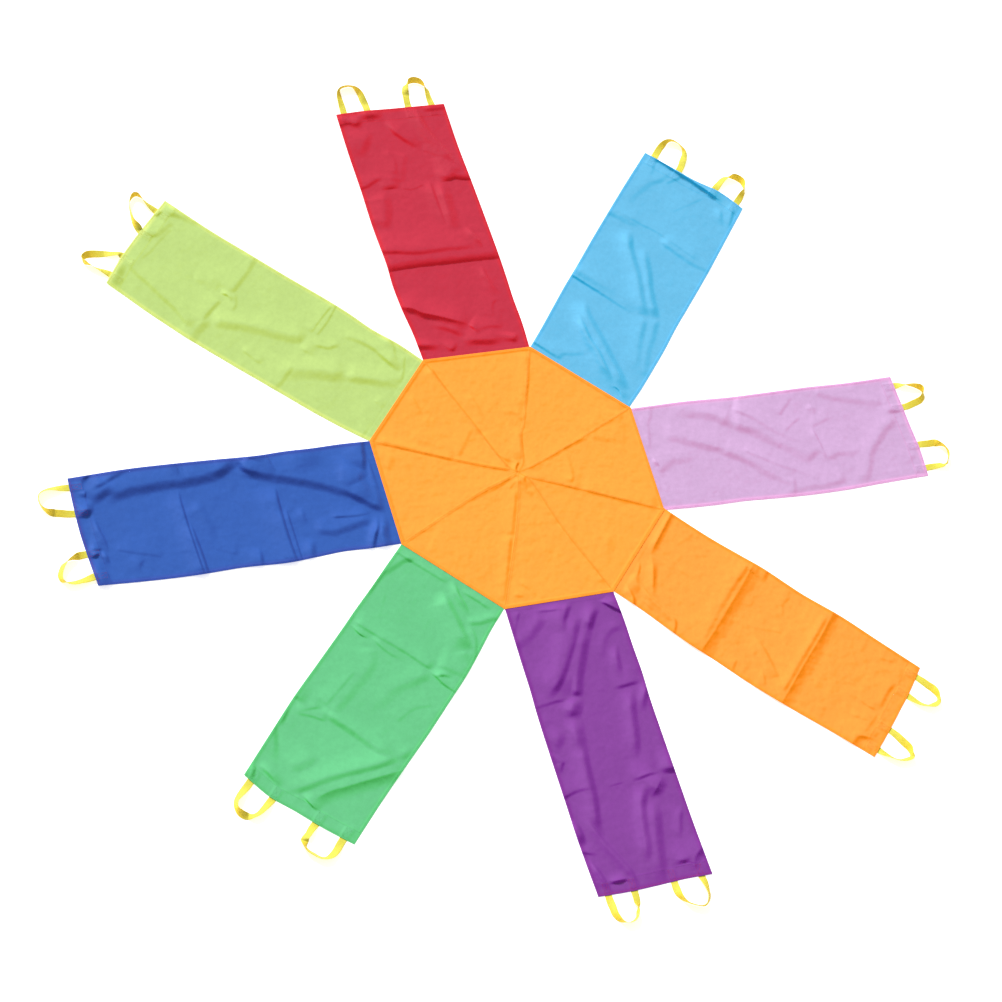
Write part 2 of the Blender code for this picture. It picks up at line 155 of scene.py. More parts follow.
# Folds of each strip: (kind, width mm, height mm at its start and end, reach mm,
# the length in mm over which it dies away at each end, points). The points run down
# the middle of the fold's shaded flank as the camera sees it, in percent of the
# strip's width from its left edge and of its length from the seam. A "foot" fold is
# steepest at its foot, a "crest" fold at its crest, and a "soft" one half way up. It
# falls away over its reach on the side towards the light.
FOLDS = {
    "red": [
        ("foot", 34, (12.8, 11.8), 144, 71, [(-11.2, 36.9), (20, 37.4), (50, 37.5), (80, 37.5), (111.3, 37.4)]),
        ("soft", 24, (10.1, 4.1), 69, 56, [(-8.8, 43.5), (10, 42.8), (20, 42), (32, 41.4), (50, 41.6), (70, 41.6), (86, 41.1)]),
        ("foot", 27, (13.1, 9.6), 69, 54, [(68, 69.7), (80, 69.8), (86, 70.4), (93, 69.6), (108.5, 68.8)]),
        ("foot", 21, (7.1, 6.1), 69, 39, [(15.9, 68.3), (25, 68.5), (30, 68.5), (37, 68.1)]),
        ("soft", 18, (5.5, 4.4), 32, 33, [(-5.2, 68.8), (6, 69.5), (12, 70.7), (18, 71.7), (25, 71.9)]),
        ("soft", 9, (1.2, 1.7), 26, 18, [(34.2, 67.8), (42, 66.6), (48, 66.8), (58.2, 68.4)]),
        ("soft", 23, (12.4, 8), 30, 67, [(40.5, 95.6), (45, 91), (50.6, 87.9), (57.2, 84.8), (63.9, 81.4)]),
        ("soft", 13, (1.5, 1.2), 29, 18, [(64.5, 82.3), (75.2, 79.7), (82, 79)]),
        ("soft", 19, (15, 15), 37, 75, [(73, 101.1), (76, 93.2), (80.9, 87.3), (86.8, 82.4), (92.6, 77), (98.4, 74.6)]),
        ("soft", 27, (1.6, 5.1), 48, 57, [(98, 77.1), (94.6, 73.1), (89, 72.3), (80.2, 71.3)]),
        ("soft", 33, (10.5, 4.8), 72, 58, [(27.3, 92.1), (21.8, 88), (16.3, 84.4), (11.9, 80.3)]),
        ("soft", 24, (9.2, 9.1), 54, 54, [(20.8, 99), (18.8, 95.8), (14.7, 92.6)]),
        ("soft", 21, (12.8, 3.8), 33, 70, [(-10.6, 96.7), (7.8, 94.2)]),
        ("soft", 30, (8.1, 12.3), 31, 69, [(18.2, 96.6), (29.9, 97.3), (41.8, 96.5)]),
        ("soft", 20, (7.9, 3.1), 30, 44, [(76, 98), (90, 98), (107, 98.3)]),
        ("soft", 23, (3.1, 2.2), 40, 20, [(51.9, 81.2), (45.6, 76.2), (41.3, 72.2), (39, 69.2)]),
        ("soft", 14, (3.1, 2.4), 28, 22, [(35.3, 84), (39.2, 79), (36, 72.8)]),
        ("soft", 33, (15, 9.5), 24, 75, [(75.1, 70), (74.7, 62), (73.9, 56), (73.1, 48)]),
        ("soft", 8, (10.6, 0), 32, 63, [(63.3, 70), (63.4, 60), (63.5, 49)]),
        ("soft", 33, (8.7, 8.9), 72, 47, [(20.3, 68), (20.7, 63), (17, 57), (11.3, 51)]),
        ("soft", 8, (9.9, 8.8), 18, 56, [(79.5, 50.4), (84.5, 47.1), (87.8, 43.9), (89, 40.3)]),
        ("soft", 7, (9.4, 2.8), 18, 51, [(81.7, 34.1), (83.8, 29.5), (87.1, 25.3), (92.5, 22.5)]),
        ("soft", 11, (2.7, 1.6), 34, 19, [(85.7, 20.5), (79.2, 17.7), (77.1, 13)]),
        ("crest", 30, (14.2, 15), 44, 75, [(-11.8, 20.5), (5.8, 19.3), (14.8, 16.9), (27.7, 14.9), (39.5, 12.8), (47.4, 11.3), (54.3, 9.9)]),
        ("soft", 10, (13, 0.5), 36, 70, [(50.5, 11.9), (54.8, 9.9), (56.7, 7.3)]),
        ("soft", 24, (4.4, 10.1), 48, 49, [(16, 12.4), (24, 11.9), (32.9, 10.4), (38.7, 8.8), (44.5, 7.2)]),
        ("soft", 27, (15, 6.5), 18, 75, [(-11.8, 5.7), (6, 5), (12, 4.5), (24, 4.2)]),
        ("soft", 30, (11, 10.3), 54, 59, [(39, 3.9), (48, 4.7), (58, 4.4), (68, 4), (80, 4.1)]),
        ("soft", 17, (8.6, 6.4), 34, 48, [(25.6, 1.2), (31.1, 3), (36.2, 6.2)]),
        ("soft", 18, (5, 11.6), 45, 63, [(89, 2.4), (91.8, 6.8)]),
        ("soft", 15, (2.1, 4.5), 37, 32, [(58, 9.7), (72, 9.9), (81.9, 8.9)]),
    ],
    "sky_blue": [
        ("crest", 21, (9.6, 15), 33, 75, [(-3, 99.2), (15, 99), (30, 98.6), (45, 98.4), (55, 97.8), (65, 96.9), (75, 95.9), (84, 95.7)]),
        ("soft", 24, (3.6, 1.7), 42, 20, [(30.7, 98.4), (24.8, 91.9), (18.9, 88.4), (15, 82.9), (11.1, 75.9)]),
        ("soft", 14, (2.8, 1.4), 24, 18, [(38.1, 98.2), (33.2, 94.2), (29.2, 91.7)]),
        ("soft", 13, (2.3, 1.5), 24, 18, [(12.5, 98), (15.8, 92.1)]),
        ("soft", 11, (1.3, 0.8), 34, 18, [(65.2, 94), (59, 90), (52.8, 86), (47.6, 82.1)]),
        ("soft", 15, (7.1, 2.5), 24, 39, [(82.3, 94.5), (87, 91.2), (92.7, 88.4)]),
        ("soft", 13, (6.8, 2.7), 24, 39, [(92, 99.1), (95.1, 94.1), (98.3, 88)]),
        ("soft", 30, (7.6, 1.1), 50, 42, [(-6.6, 67.2), (6, 68), (20, 68.4), (32.1, 68.8)]),
        ("soft", 15, (2.4, 3.2), 34, 40, [(10, 70.6), (28, 70.5), (45, 71), (60, 70), (75, 69), (90, 68.5)]),
        ("soft", 24, (6.9, 2.8), 37, 36, [(48.1, 68.8), (60, 67.1), (72, 66.2), (84, 66), (95, 67), (105.7, 67.7)]),
        ("soft", 24, (13.3, 8.7), 34, 64, [(24.4, 66.6), (30.5, 61.1), (38.6, 56.6), (48.8, 51.7), (55.9, 47.2), (63, 42.7), (69.1, 39.3), (76.2, 35.9)]),
        ("soft", 23, (6.9, 2.1), 41, 42, [(73.1, 36.9), (76.2, 30.9), (79.3, 25.9), (83.4, 20.9), (89.4, 14.9)]),
        ("soft", 22, (8.2, 10.3), 30, 51, [(43.2, 62.6), (49.5, 58.6), (56.7, 54.2), (63.9, 48.8), (71.2, 44.3), (77.3, 41.4), (84.5, 38.5)]),
        ("soft", 23, (4.9, 2.4), 40, 31, [(83.1, 38.6), (86.7, 31.1), (89.4, 25), (93, 20), (98.7, 14)]),
        ("soft", 18, (9.6, 2.1), 68, 50, [(-7.9, 36.2), (10, 35.6), (25, 35.4), (45, 35), (64, 34.6)]),
        ("soft", 30, (9.4, 1.6), 24, 49, [(-7.8, 38.4), (20, 37.8), (41.9, 37.2)]),
        ("soft", 25, (15, 15), 49, 75, [(20.1, 29.8), (28.1, 25.8), (39.1, 22.4), (51.1, 18.9), (63.1, 14.9), (73.1, 12), (83.1, 9), (93.1, 6)]),
        ("soft", 12, (15, 11.4), 30, 75, [(21.2, 23.5), (31.2, 20), (41.2, 16.5), (51.2, 14.3), (59.2, 11.6), (67.3, 9.1), (77.3, 6.1)]),
        ("soft", 6, (0.8, 8.2), 27, 62, [(75, 3.6), (82, 4.3), (86.7, 3.3), (91.3, 1.2)]),
        ("soft", 18, (3.8, 0.7), 36, 23, [(26.3, 1), (27.4, 4.6), (34.5, 6.9), (44.7, 10.1)]),
        ("soft", 19, (10.5, 1.9), 26, 50, [(-7.9, 2.6), (15, 2.3), (29, 2.1)]),
    ],
    "pink": [
        ("soft", 26, (4.7, 3.7), 33, 27, [(40.2, 96.5), (48.2, 92.1), (53.3, 89.1), (60.3, 86.1), (67.3, 83), (74.3, 81), (82.2, 79.8), (90.2, 78.1), (97.1, 77.8)]),
        ("soft", 30, (2.5, 3.6), 36, 22, [(26.6, 92.8), (22.2, 86.9), (17.8, 80.9), (14.3, 76), (9.9, 71.5), (6.5, 68.6)]),
        ("soft", 21, (0, 6), 43, 33, [(33.1, 100), (34.3, 96), (33.4, 92)]),
        ("soft", 8, (1, 1.4), 27, 18, [(16.8, 98.4), (20.8, 95.9), (27.8, 93.4)]),
        ("soft", 18, (2.2, 0), 35, 18, [(78.5, 97.9), (82.7, 94.9), (88.8, 92.4)]),
        ("soft", 14, (0, 1.5), 29, 18, [(73.8, 92), (80.7, 87.4)]),
        ("soft", 23, (1.3, 4.1), 56, 27, [(64.6, 79.1), (68.2, 74), (66.7, 71), (67.9, 67.4), (72, 64.7)]),
        ("soft", 14, (1.8, 1.5), 25, 18, [(30.8, 72), (34.7, 67.5), (38.7, 63)]),
        ("soft", 17, (3.7, 0.7), 30, 22, [(14.1, 65.5), (22, 66.9), (28.9, 64.9)]),
        ("foot", 7, (5.6, 0.2), 20, 31, [(38.2, 63.2), (52.1, 64.1), (60, 64.3), (73, 64.8)]),
        ("soft", 24, (6.3, 1.9), 40, 38, [(58.8, 63.7), (64.2, 60.3), (67.6, 58.3), (73.9, 57)]),
        ("soft", 11, (1.3, 1.9), 29, 18, [(6.8, 60.4), (13.9, 57.5), (19, 55), (24, 53)]),
        ("soft", 9, (1.6, 1.7), 30, 18, [(26.8, 61), (32.9, 56.5), (39, 53)]),
        ("soft", 41, (3, 9.3), 67, 50, [(69.5, 57.5), (59.1, 53.6), (52.6, 49.8), (44.2, 45.4), (35.7, 41.1), (30.2, 36.7), (23.6, 32.8)]),
        ("soft", 39, (9.5, 1.1), 40, 51, [(29.1, 35.5), (25.1, 32.5), (19.1, 29), (15, 24), (13, 19), (12, 13)]),
        ("soft", 22, (0.9, 5.3), 50, 24, [(54.6, 59.1), (43.4, 52.1), (33.3, 47.2), (21.1, 42.2), (12, 36.2)]),
        ("soft", 35, (2.8, 7.6), 46, 42, [(89.4, 49.4), (80.2, 43), (74, 39.5), (65.9, 36.5), (57.7, 31.6), (49.5, 26.1)]),
        ("soft", 35, (6.6, 3.8), 70, 37, [(53.3, 29.1), (49.3, 26.1), (44.3, 21.1), (40.3, 17.1), (35.3, 13.1), (32.3, 8.1)]),
        ("soft", 16, (0.8, 2.9), 24, 18, [(88.5, 59.4), (78.1, 53), (70.7, 47.1), (61.3, 41.2), (51.9, 35.2)]),
        ("soft", 30, (2.5, 3.8), 54, 28, [(55.6, 17), (55.9, 10.1), (58.2, 7.5), (61.7, 4.9), (66.2, 2.7)]),
        ("soft", 15, (1.9, 2.2), 29, 18, [(-2.8, 8.3), (9.7, 6.6), (17.7, 4.7), (27.8, 3.9), (41.8, 2.4)]),
        ("soft", 8, (9.1, 0), 14, 29, [(49, 2.5), (55.4, 3.7), (59.8, 4)]),
        ("soft", 24, (3.9, 1), 52, 25, [(90.9, 69.9), (94.2, 62), (93.5, 57), (94.8, 52), (98.1, 45)]),
        ("soft", 17, (4.8, 0), 28, 26, [(80, 50.4), (89.9, 49.9), (104, 48.4)]),
        ("soft", 8, (0, 0.8), 24, 18, [(84.9, 25), (89.7, 18)]),
        ("soft", 10, (1.6, 1.2), 25, 18, [(80.8, 1.4), (83.8, 4.9)]),
    ],
    "orange": [
        ("crest", 39, (8.7, 7.4), 104, 75, [(-11.9, 68), (30, 67.7), (60, 67.3), (111.9, 67.3)]),
        ("soft", 15, (3, 2.4), 18, 28, [(5, 64.8), (30, 64.5), (60, 64.2), (92, 64.2)]),
        ("crest", 46, (8.7, 8.5), 144, 75, [(-11.9, 36.7), (15, 37.4), (50, 37.2), (80, 37.1), (111.9, 36.5)]),
        ("soft", 18, (4.6, 1.2), 37, 38, [(2, 34.1), (25, 33.3), (50, 33.1), (75, 33.4), (93.1, 33.7)]),
        ("soft", 18, (6.5, 0), 54, 44, [(-7, 40.1), (9.7, 40.7), (17.7, 39.6)]),
        ("soft", 14, (3.4, 2.5), 42, 35, [(25, 94.8), (35, 94), (45, 93.8), (58, 94.1)]),
        ("soft", 9, (1.9, 1), 27, 25, [(60, 94), (70, 93.9), (87.1, 93.1)]),
        ("soft", 15, (2.1, 0.6), 35, 23, [(7.9, 95.2), (20, 95.2), (27.9, 96.4)]),
        ("crest", 23, (3.8, 7.3), 68, 65, [(84.9, 99.8), (88.6, 95.9), (91.2, 93.5), (95.8, 92.9), (110.1, 91.6)]),
        ("soft", 12, (0, 1.9), 25, 18, [(75.9, 97.5), (84, 96.6)]),
        ("soft", 9, (2.3, 2.2), 18, 27, [(60, 94.1), (60.6, 89), (58.1, 85)]),
        ("soft", 13, (1.4, 3.4), 29, 32, [(71.8, 94), (74.4, 89.9), (76.9, 85.9)]),
        ("soft", 10, (1.2, 1.5), 27, 18, [(9.8, 92.1), (14.6, 85.4)]),
        ("soft", 13, (7, 4.8), 41, 64, [(58.7, 45.3), (63.2, 50.8), (68.8, 54.3), (74.4, 57.4), (82, 61)]),
        ("soft", 10, (1.2, 0.6), 34, 18, [(42.2, 54.5), (50.3, 48.1), (58.4, 42.1)]),
        ("soft", 10, (3.9, 1), 36, 53, [(80.9, 54.1), (89.2, 56.9), (97.7, 59)]),
        ("soft", 9, (1.7, 0.9), 37, 18, [(7.9, 51.1), (20, 50.1), (29.6, 52.7)]),
        ("soft", 8, (3.5, 0.9), 30, 35, [(85, 45.7), (105.5, 46.8)]),
        ("soft", 8, (1.1, 0), 32, 18, [(79.9, 77.6), (91.9, 79.4)]),
        ("soft", 13, (1, 1.1), 22, 27, [(81, 28.7), (90.9, 27.2), (104.1, 25.4)]),
        ("crest", 21, (4.6, 8.7), 63, 71, [(-11.2, 3.5), (12, 4.3), (25, 4.6), (37.9, 4.9), (49.8, 5.6)]),
        ("crest", 19, (8.7, 6), 21, 75, [(44.6, 4.8), (55.4, 7.8), (65.2, 9.9), (74, 11.5), (82.8, 13.6)]),
        ("soft", 11, (8.2, 3.9), 21, 75, [(75.2, 4.9), (81.5, 9.4), (84.8, 14.5), (87.1, 19.5), (90.4, 23), (111.4, 25.5)]),
        ("crest", 11, (8.2, 5.5), 18, 75, [(84.1, 1.7), (90.1, 5.4), (95.6, 7.8), (110.9, 10.7)]),
        ("soft", 21, (8.7, 2.9), 45, 75, [(70.2, 3.4), (79.4, 6), (85.7, 9.1)]),
        ("soft", 11, (4.3, 3.5), 39, 39, [(56.8, 1.4), (65.8, 3.7), (76.8, 4.7)]),
        ("soft", 8, (3.5, 0.4), 15, 26, [(91.1, 9.9), (96, 15.4)]),
        ("soft", 15, (1.7, 0.6), 25, 22, [(1.9, 13.2), (14.9, 11.9), (25, 9.8)]),
    ],
    "purple": [
        ("soft", 32, (11.5, 15), 43, 75, [(38.9, 100.1), (36.6, 93.1), (32.3, 86), (27.4, 79), (23.6, 72)]),
        ("crest", 32, (15, 15), 62, 75, [(25.7, 73.1), (18, 70.4), (13.3, 68.3), (6.6, 65.1)]),
        ("soft", 24, (8.5, 14), 24, 65, [(47.7, 93.1), (42.8, 86.2), (39.9, 80.2), (36, 74.2), (31.1, 70.2), (25.2, 67.3)]),
        ("soft", 27, (11.2, 15), 54, 75, [(-11.9, 64), (6, 64), (15.1, 64)]),
        ("soft", 14, (10.5, 2.4), 72, 52, [(11, 64.3), (22, 64.2), (30, 64.7), (42.1, 65.2)]),
        ("soft", 8, (2.4, 0.1), 42, 18, [(46, 65), (64, 65.5)]),
        ("soft", 15, (1.3, 6.9), 39, 37, [(70.8, 65.1), (80, 64.9), (88, 65.2), (105.7, 67.3)]),
        ("soft", 12, (11.8, 11.1), 24, 75, [(62, 99.8), (66, 92.8), (72, 87.8), (78.1, 82.8), (82.1, 78.8), (87.1, 73.2)]),
        ("soft", 24, (13.1, 15), 35, 75, [(78.8, 81), (77.2, 75), (75.1, 71), (73.4, 67), (72.3, 62), (70.7, 56), (68.1, 48)]),
        ("soft", 37, (14.9, 14.8), 24, 75, [(69.1, 53.1), (68.4, 49), (67.7, 45), (67, 39.9)]),
        ("soft", 39, (15, 15), 24, 75, [(70.4, 42.5), (65.4, 39.1), (61.6, 36.4), (59.8, 33.5)]),
        ("soft", 24, (0.9, 13.9), 45, 55, [(54.3, 34.2), (61.1, 33.3), (66.9, 32.4)]),
        ("soft", 32, (11.3, 15), 81, 75, [(60.8, 35.1), (55.9, 29.2), (50.1, 24.7), (44.2, 20.2), (37.4, 15.1), (30.5, 11.1)]),
        ("soft", 25, (15, 15), 27, 75, [(34.5, 14.4), (30.4, 11.2), (25.3, 7.9), (17, 3.9)]),
        ("soft", 27, (12.3, 15), 62, 75, [(88.9, 34), (77.9, 30.6), (69.8, 27.1), (61.8, 22.6), (53.7, 17.6), (46.6, 13.1), (41.6, 9.6), (35.5, 5.6)]),
        ("soft", 24, (9.5, 15), 28, 75, [(27.5, 59.1), (22.9, 53), (20.4, 49), (17.9, 43.9), (14.3, 38.4), (11.8, 34.3)]),
        ("soft", 17, (15, 4.2), 18, 75, [(-6.1, 32.2), (4, 39), (9.2, 43.9)]),
        ("soft", 17, (7.4, 4.1), 63, 40, [(2, 32.9), (12, 33), (20.1, 33.4), (30.1, 33.8)]),
        ("soft", 15, (5.2, 2), 46, 33, [(68, 34.4), (80.1, 34.6), (90.2, 35.1), (105.2, 35.8)]),
        ("crest", 12, (3.6, 15), 54, 75, [(-9, 11.5), (8.9, 5.3), (14.5, 3.6), (16.8, 1.4)]),
        ("soft", 21, (15, 13.8), 54, 75, [(38.2, -0.3), (43.6, 2.9), (47.9, 5.5), (52.2, 8.1), (55.4, 13.2)]),
        ("soft", 30, (5.2, 4.4), 26, 27, [(67.2, 5.4), (76.3, 8.8), (84.4, 11.3), (92.4, 13.2), (104.1, 14.8)]),
        ("soft", 22, (5, 0.8), 20, 29, [(3, 13.6), (11.8, 13.8), (19.3, 15.9), (24.7, 19.4), (29.1, 23.3)]),
        ("soft", 16, (11.3, 6.7), 20, 60, [(12.9, 18.7), (16.2, 24), (17.5, 30.1)]),
        ("soft", 10, (4.1, 0), 24, 22, [(87.3, 1.4), (92.2, 5), (101.1, 11.5)]),
        ("soft", 15, (8, 2.1), 41, 50, [(10, 93.3), (20.1, 94.4), (32.1, 94.8)]),
        ("soft", 10, (12.7, 4.8), 18, 70, [(69, 96.3), (80, 96.2), (90, 96.6)]),
        ("crest", 24, (15, 6.7), 54, 75, [(-10.3, 89.5), (5.1, 93.8), (8.4, 96.2), (12.7, 99.8)]),
        ("soft", 10, (13, 13), 21, 75, [(86.5, 99.4), (89.8, 94.4), (93, 90.4), (97.3, 86.4)]),
        ("soft", 16, (15, 15), 33, 75, [(95, 83.5), (94.7, 79), (97.5, 72.9)]),
        ("soft", 10, (0.3, 8.7), 15, 49, [(84, 86.3), (92, 86.2), (107.4, 84.1)]),
        ("soft", 13, (4.2, 10), 27, 55, [(97.7, 60.1), (92.4, 56), (91.7, 54.1), (105.5, 48.5)]),
        ("soft", 29, (4, 9.1), 41, 54, [(95.6, 52), (87.3, 48.2), (82.2, 43)]),
        ("soft", 14, (5.8, 3.8), 18, 35, [(4.2, 76.1), (9.6, 81.2), (15.1, 87.3)]),
        ("soft", 15, (8.1, 3.4), 37, 45, [(48, 3.3), (62, 3.4), (78, 2.9)]),
    ],
    "green": [
        ("crest", 42, (11, 14), 108, 60, [(41.1, 95.8), (33.2, 89.4), (25.2, 85.4), (18.3, 81.9), (10.3, 77.9), (-6.9, 69.4)]),
        ("soft", 24, (4.7, 8.8), 37, 50, [(64.5, 96.5), (53.7, 91.4), (46, 86.8), (37.4, 82.2), (29.7, 78.6), (20, 74), (13.4, 70.4), (6.7, 65.8)]),
        ("soft", 21, (8.2, 0), 35, 42, [(8.2, 67.5), (4.3, 64.5), (2.3, 59)]),
        ("soft", 7, (7.2, 9.4), 22, 73, [(36.3, 96.6), (46, 95.3), (55.7, 94)]),
        ("soft", 15, (6.6, 11.7), 18, 50, [(71.3, 95.9), (82, 94.5), (95.2, 94.2)]),
        ("soft", 16, (4.8, 15), 30, 75, [(91.7, 100.1), (94.8, 97), (97.9, 94.2)]),
        ("soft", 19, (2.5, 0), 27, 18, [(2, 97.6), (16, 98.8)]),
        ("soft", 33, (4.4, 5.7), 38, 31, [(72.1, 89.7), (64.9, 85.2), (57.8, 80.2)]),
        ("soft", 21, (0.5, 13.2), 63, 62, [(81.6, 90.7), (89.7, 85.9), (104.9, 77.2)]),
        ("soft", 27, (7.4, 10.9), 24, 53, [(11.9, 66.8), (25, 68), (45, 67.4), (60, 67), (78.9, 66.1)]),
        ("soft", 10, (3.8, 0), 43, 25, [(77.1, 65), (82.2, 66.9), (88.2, 69.9), (95.2, 73.9)]),
        ("soft", 12, (3.8, 2.6), 45, 22, [(68.4, 68.3), (80.3, 69.7), (92.1, 72.4)]),
        ("soft", 21, (4.1, 11.6), 44, 52, [(87.7, 67.6), (108.2, 68.1)]),
        ("soft", 30, (4.4, 2.9), 68, 23, [(66.8, 65), (65.3, 57), (64.2, 50), (63.7, 45), (65.2, 41.5), (72.1, 37.5)]),
        ("soft", 10, (2, 1.8), 31, 18, [(76.3, 64), (74.4, 55), (72.9, 48)]),
        ("soft", 30, (0.3, 5.7), 35, 31, [(42.7, 58.5), (39.8, 50), (37.9, 46), (32.1, 42), (26.2, 38), (22.3, 34.9)]),
        ("soft", 12, (1.8, 1.3), 32, 18, [(24.9, 56), (20.9, 50), (15.8, 47), (8.8, 44.6)]),
        ("soft", 11, (2.6, 9.7), 25, 48, [(-7.6, 36.4), (10, 36), (17.9, 35.2), (27.8, 34.4)]),
        ("soft", 11, (9.4, 1.6), 14, 47, [(19.7, 35.2), (14.3, 33), (7.9, 33.1)]),
        ("soft", 15, (5, 5), 26, 28, [(24, 33.8), (50, 33.4), (75, 33.6), (97, 34.3)]),
        ("soft", 12, (0.6, 6.8), 32, 35, [(45, 36.4), (60, 36.6), (70, 35.9), (78.8, 34.8)]),
        ("soft", 7, (4.8, 7), 18, 37, [(77.9, 36), (87, 36.5), (96.9, 35.6)]),
        ("soft", 22, (2, 7.1), 62, 33, [(-5.2, 29.4), (12.3, 30.5), (25.5, 31.5)]),
        ("soft", 22, (15, 15), 40, 60, [(5, 19.6), (8.7, 18.4), (19.2, 15.6), (27.7, 12.8), (36.1, 10.6), (43.4, 8.5), (52.8, 7)]),
        ("soft", 12, (4.9, 4.3), 55, 44, [(-2.3, 24.2), (5.9, 16.5), (10.4, 14.3), (18, 11.6)]),
        ("soft", 18, (4.2, 4.5), 18, 27, [(20.5, 12.9), (11.3, 10.3), (6.2, 7.8), (-2.3, 3.7)]),
        ("soft", 8, (10.6, 10.6), 18, 75, [(19.6, 9.6), (29.3, 6.7), (37, 5), (43.8, 2.7), (49.6, 0.5)]),
        ("soft", 16, (6.1, 7.2), 26, 37, [(8.2, 4.2), (18, 3.4), (28, 3.4), (39.1, 3.2)]),
        ("soft", 15, (4.2, 5.1), 45, 30, [(50, 3.9), (65, 3.9), (80, 4), (104.8, 4.1)]),
        ("soft", 22, (6.1, 3.8), 63, 39, [(80.7, 0.4), (86.5, 3.7), (90.4, 5.8), (93.2, 8.9), (95.9, 11.9), (98.7, 16), (99.4, 24)]),
        ("soft", 15, (0, 2.8), 24, 20, [(-1.6, 27.2), (11.1, 21)]),
        ("soft", 8, (0, 1.2), 22, 18, [(80.3, 28.4), (88.4, 18.4)]),
        ("soft", 13, (7, 2.5), 25, 39, [(96, 79.5), (98.3, 70.5)]),
    ],
    "blue": [
        ("soft", 44, (12.2, 14.5), 144, 60, [(74.5, 90.5), (75.8, 88.1), (79.2, 81), (80.2, 76), (81.1, 70), (80.5, 64), (80.8, 61.8)]),
        ("soft", 46, (14.5, 14.5), 144, 60, [(81.8, 67.4), (81.6, 62), (82.8, 57), (85.5, 52.4), (90.3, 49.3), (92, 48.4)]),
        ("soft", 39, (14.9, 15), 87, 75, [(85.1, 54.2), (89.1, 50), (93.2, 47.6), (98.5, 44.7)]),
        ("soft", 26, (14.2, 14.9), 47, 75, [(62.3, 100.2), (66.8, 95.7), (72.4, 94.5), (77.2, 93.5)]),
        ("soft", 37, (14.7, 11.1), 72, 75, [(71.4, 94.6), (77.4, 91.8), (81.4, 89.3), (85.3, 86.7), (90.3, 85)]),
        ("soft", 18, (8.5, 3.4), 54, 46, [(85.9, 93.8), (91.2, 88.2), (94.6, 85.1), (99.9, 79.5)]),
        ("soft", 7, (9.4, 9.4), 19, 75, [(26.8, 93.4), (38, 93), (50, 93.8), (65, 94.5)]),
        ("soft", 9, (0.9, 11.8), 16, 75, [(14.8, 94.2), (25, 94.1), (32, 94.7)]),
        ("soft", 11, (1.4, 14.2), 20, 75, [(24.2, 99.4), (29.6, 95.4)]),
        ("soft", 32, (15, 15), 30, 75, [(-11.8, 95.7), (10.3, 96.9), (26.2, 97.6)]),
        ("soft", 12, (11, 1.6), 29, 62, [(33.6, 99), (31, 94)]),
        ("soft", 7, (0, 7.8), 19, 38, [(78, 95.7), (86.9, 95.1)]),
        ("soft", 19, (5.1, 15), 31, 75, [(91, 96.8), (108.3, 90.1)]),
        ("soft", 12, (0, 5.9), 28, 33, [(5, 85.5), (12.2, 85.2), (16.4, 84.2), (19.7, 82.1)]),
        ("soft", 14, (2.6, 2), 31, 18, [(30.1, 91), (24.4, 84.1), (19.6, 77.1)]),
        ("foot", 7, (9.4, 9.4), 37, 75, [(-11.9, 66.3), (20, 66.3), (50, 66.3), (70, 66.4), (78.1, 65.7)]),
        ("foot", 9, (9.4, 11.8), 27, 75, [(-11.9, 65.1), (15, 64.8), (30, 65), (49, 65.4)]),
        ("soft", 11, (1.9, 14.2), 21, 75, [(86.1, 64.6), (94.2, 64.8), (111.7, 66.1)]),
        ("soft", 25, (0.7, 7), 46, 38, [(17.9, 61.4), (35, 58.9), (50, 59.5), (66, 61.5)]),
        ("soft", 14, (2.4, 0), 40, 18, [(12, 53.3), (17.9, 58.8), (24.8, 63.3)]),
        ("soft", 11, (0, 14.2), 44, 75, [(-11.8, 47.6), (6, 46.6), (18, 46)]),
        ("soft", 30, (15, 9.6), 59, 75, [(111.1, 47.4), (92.2, 44.9), (86.9, 42.5), (82.9, 37.7)]),
        ("soft", 42, (14.5, 13), 144, 60, [(89.5, 46.8), (86.5, 45.2), (83, 41.7), (78.4, 36.8), (72.4, 30.3), (66.3, 24.3), (60.3, 18.8), (52.2, 13.4), (49.5, 11.8)]),
        ("soft", 32, (13, 12.5), 60, 55, [(57, 16.3), (52.9, 13), (44.8, 9.2), (38.7, 6.5), (33.6, 2.8), (32, 1)]),
        ("foot", 11, (10.9, 11.4), 70, 60, [(-9.5, 35.7), (15, 36.1), (40, 36), (72, 35.6)]),
        ("foot", 6, (4.4, 7.5), 43, 44, [(-7, 34.2), (20, 34), (49, 34)]),
        ("soft", 8, (8.6, 10.6), 42, 75, [(82.8, 33.2), (90.7, 34.6), (111.5, 37)]),
        ("soft", 18, (5.9, 14.2), 33, 75, [(106.3, 45), (92.7, 36.8)]),
        ("soft", 22, (0.1, 14.2), 27, 75, [(-11.7, 30.7), (6.8, 29.3), (16.9, 27.6)]),
        ("soft", 12, (0.3, 7.4), 18, 40, [(27.9, 28.7), (48, 28.9)]),
        ("soft", 30, (6.1, 6.4), 36, 35, [(23.7, 28), (18.4, 22), (19.2, 18), (22, 13), (25.8, 6.9)]),
        ("soft", 9, (4.4, 2), 24, 27, [(32.8, 21), (31.4, 13), (32.4, 7)]),
        ("soft", 12, (7.8, 14.5), 18, 75, [(-11.1, 11.5), (9.9, 8.1), (18.1, 6.3), (30.4, 5)]),
        ("soft", 30, (12.8, 15), 25, 75, [(-11.9, 4), (9.9, 4.2), (19.8, 3), (29.7, 2)]),
        ("soft", 30, (13, 14.8), 53, 75, [(61.4, 14.9), (63.7, 10.3), (66.9, 6.8), (72.2, 4.3)]),
        ("soft", 33, (5.5, 15), 54, 75, [(42.4, 4.6), (55, 5.8), (65.7, 6.6), (73.5, 5.1)]),
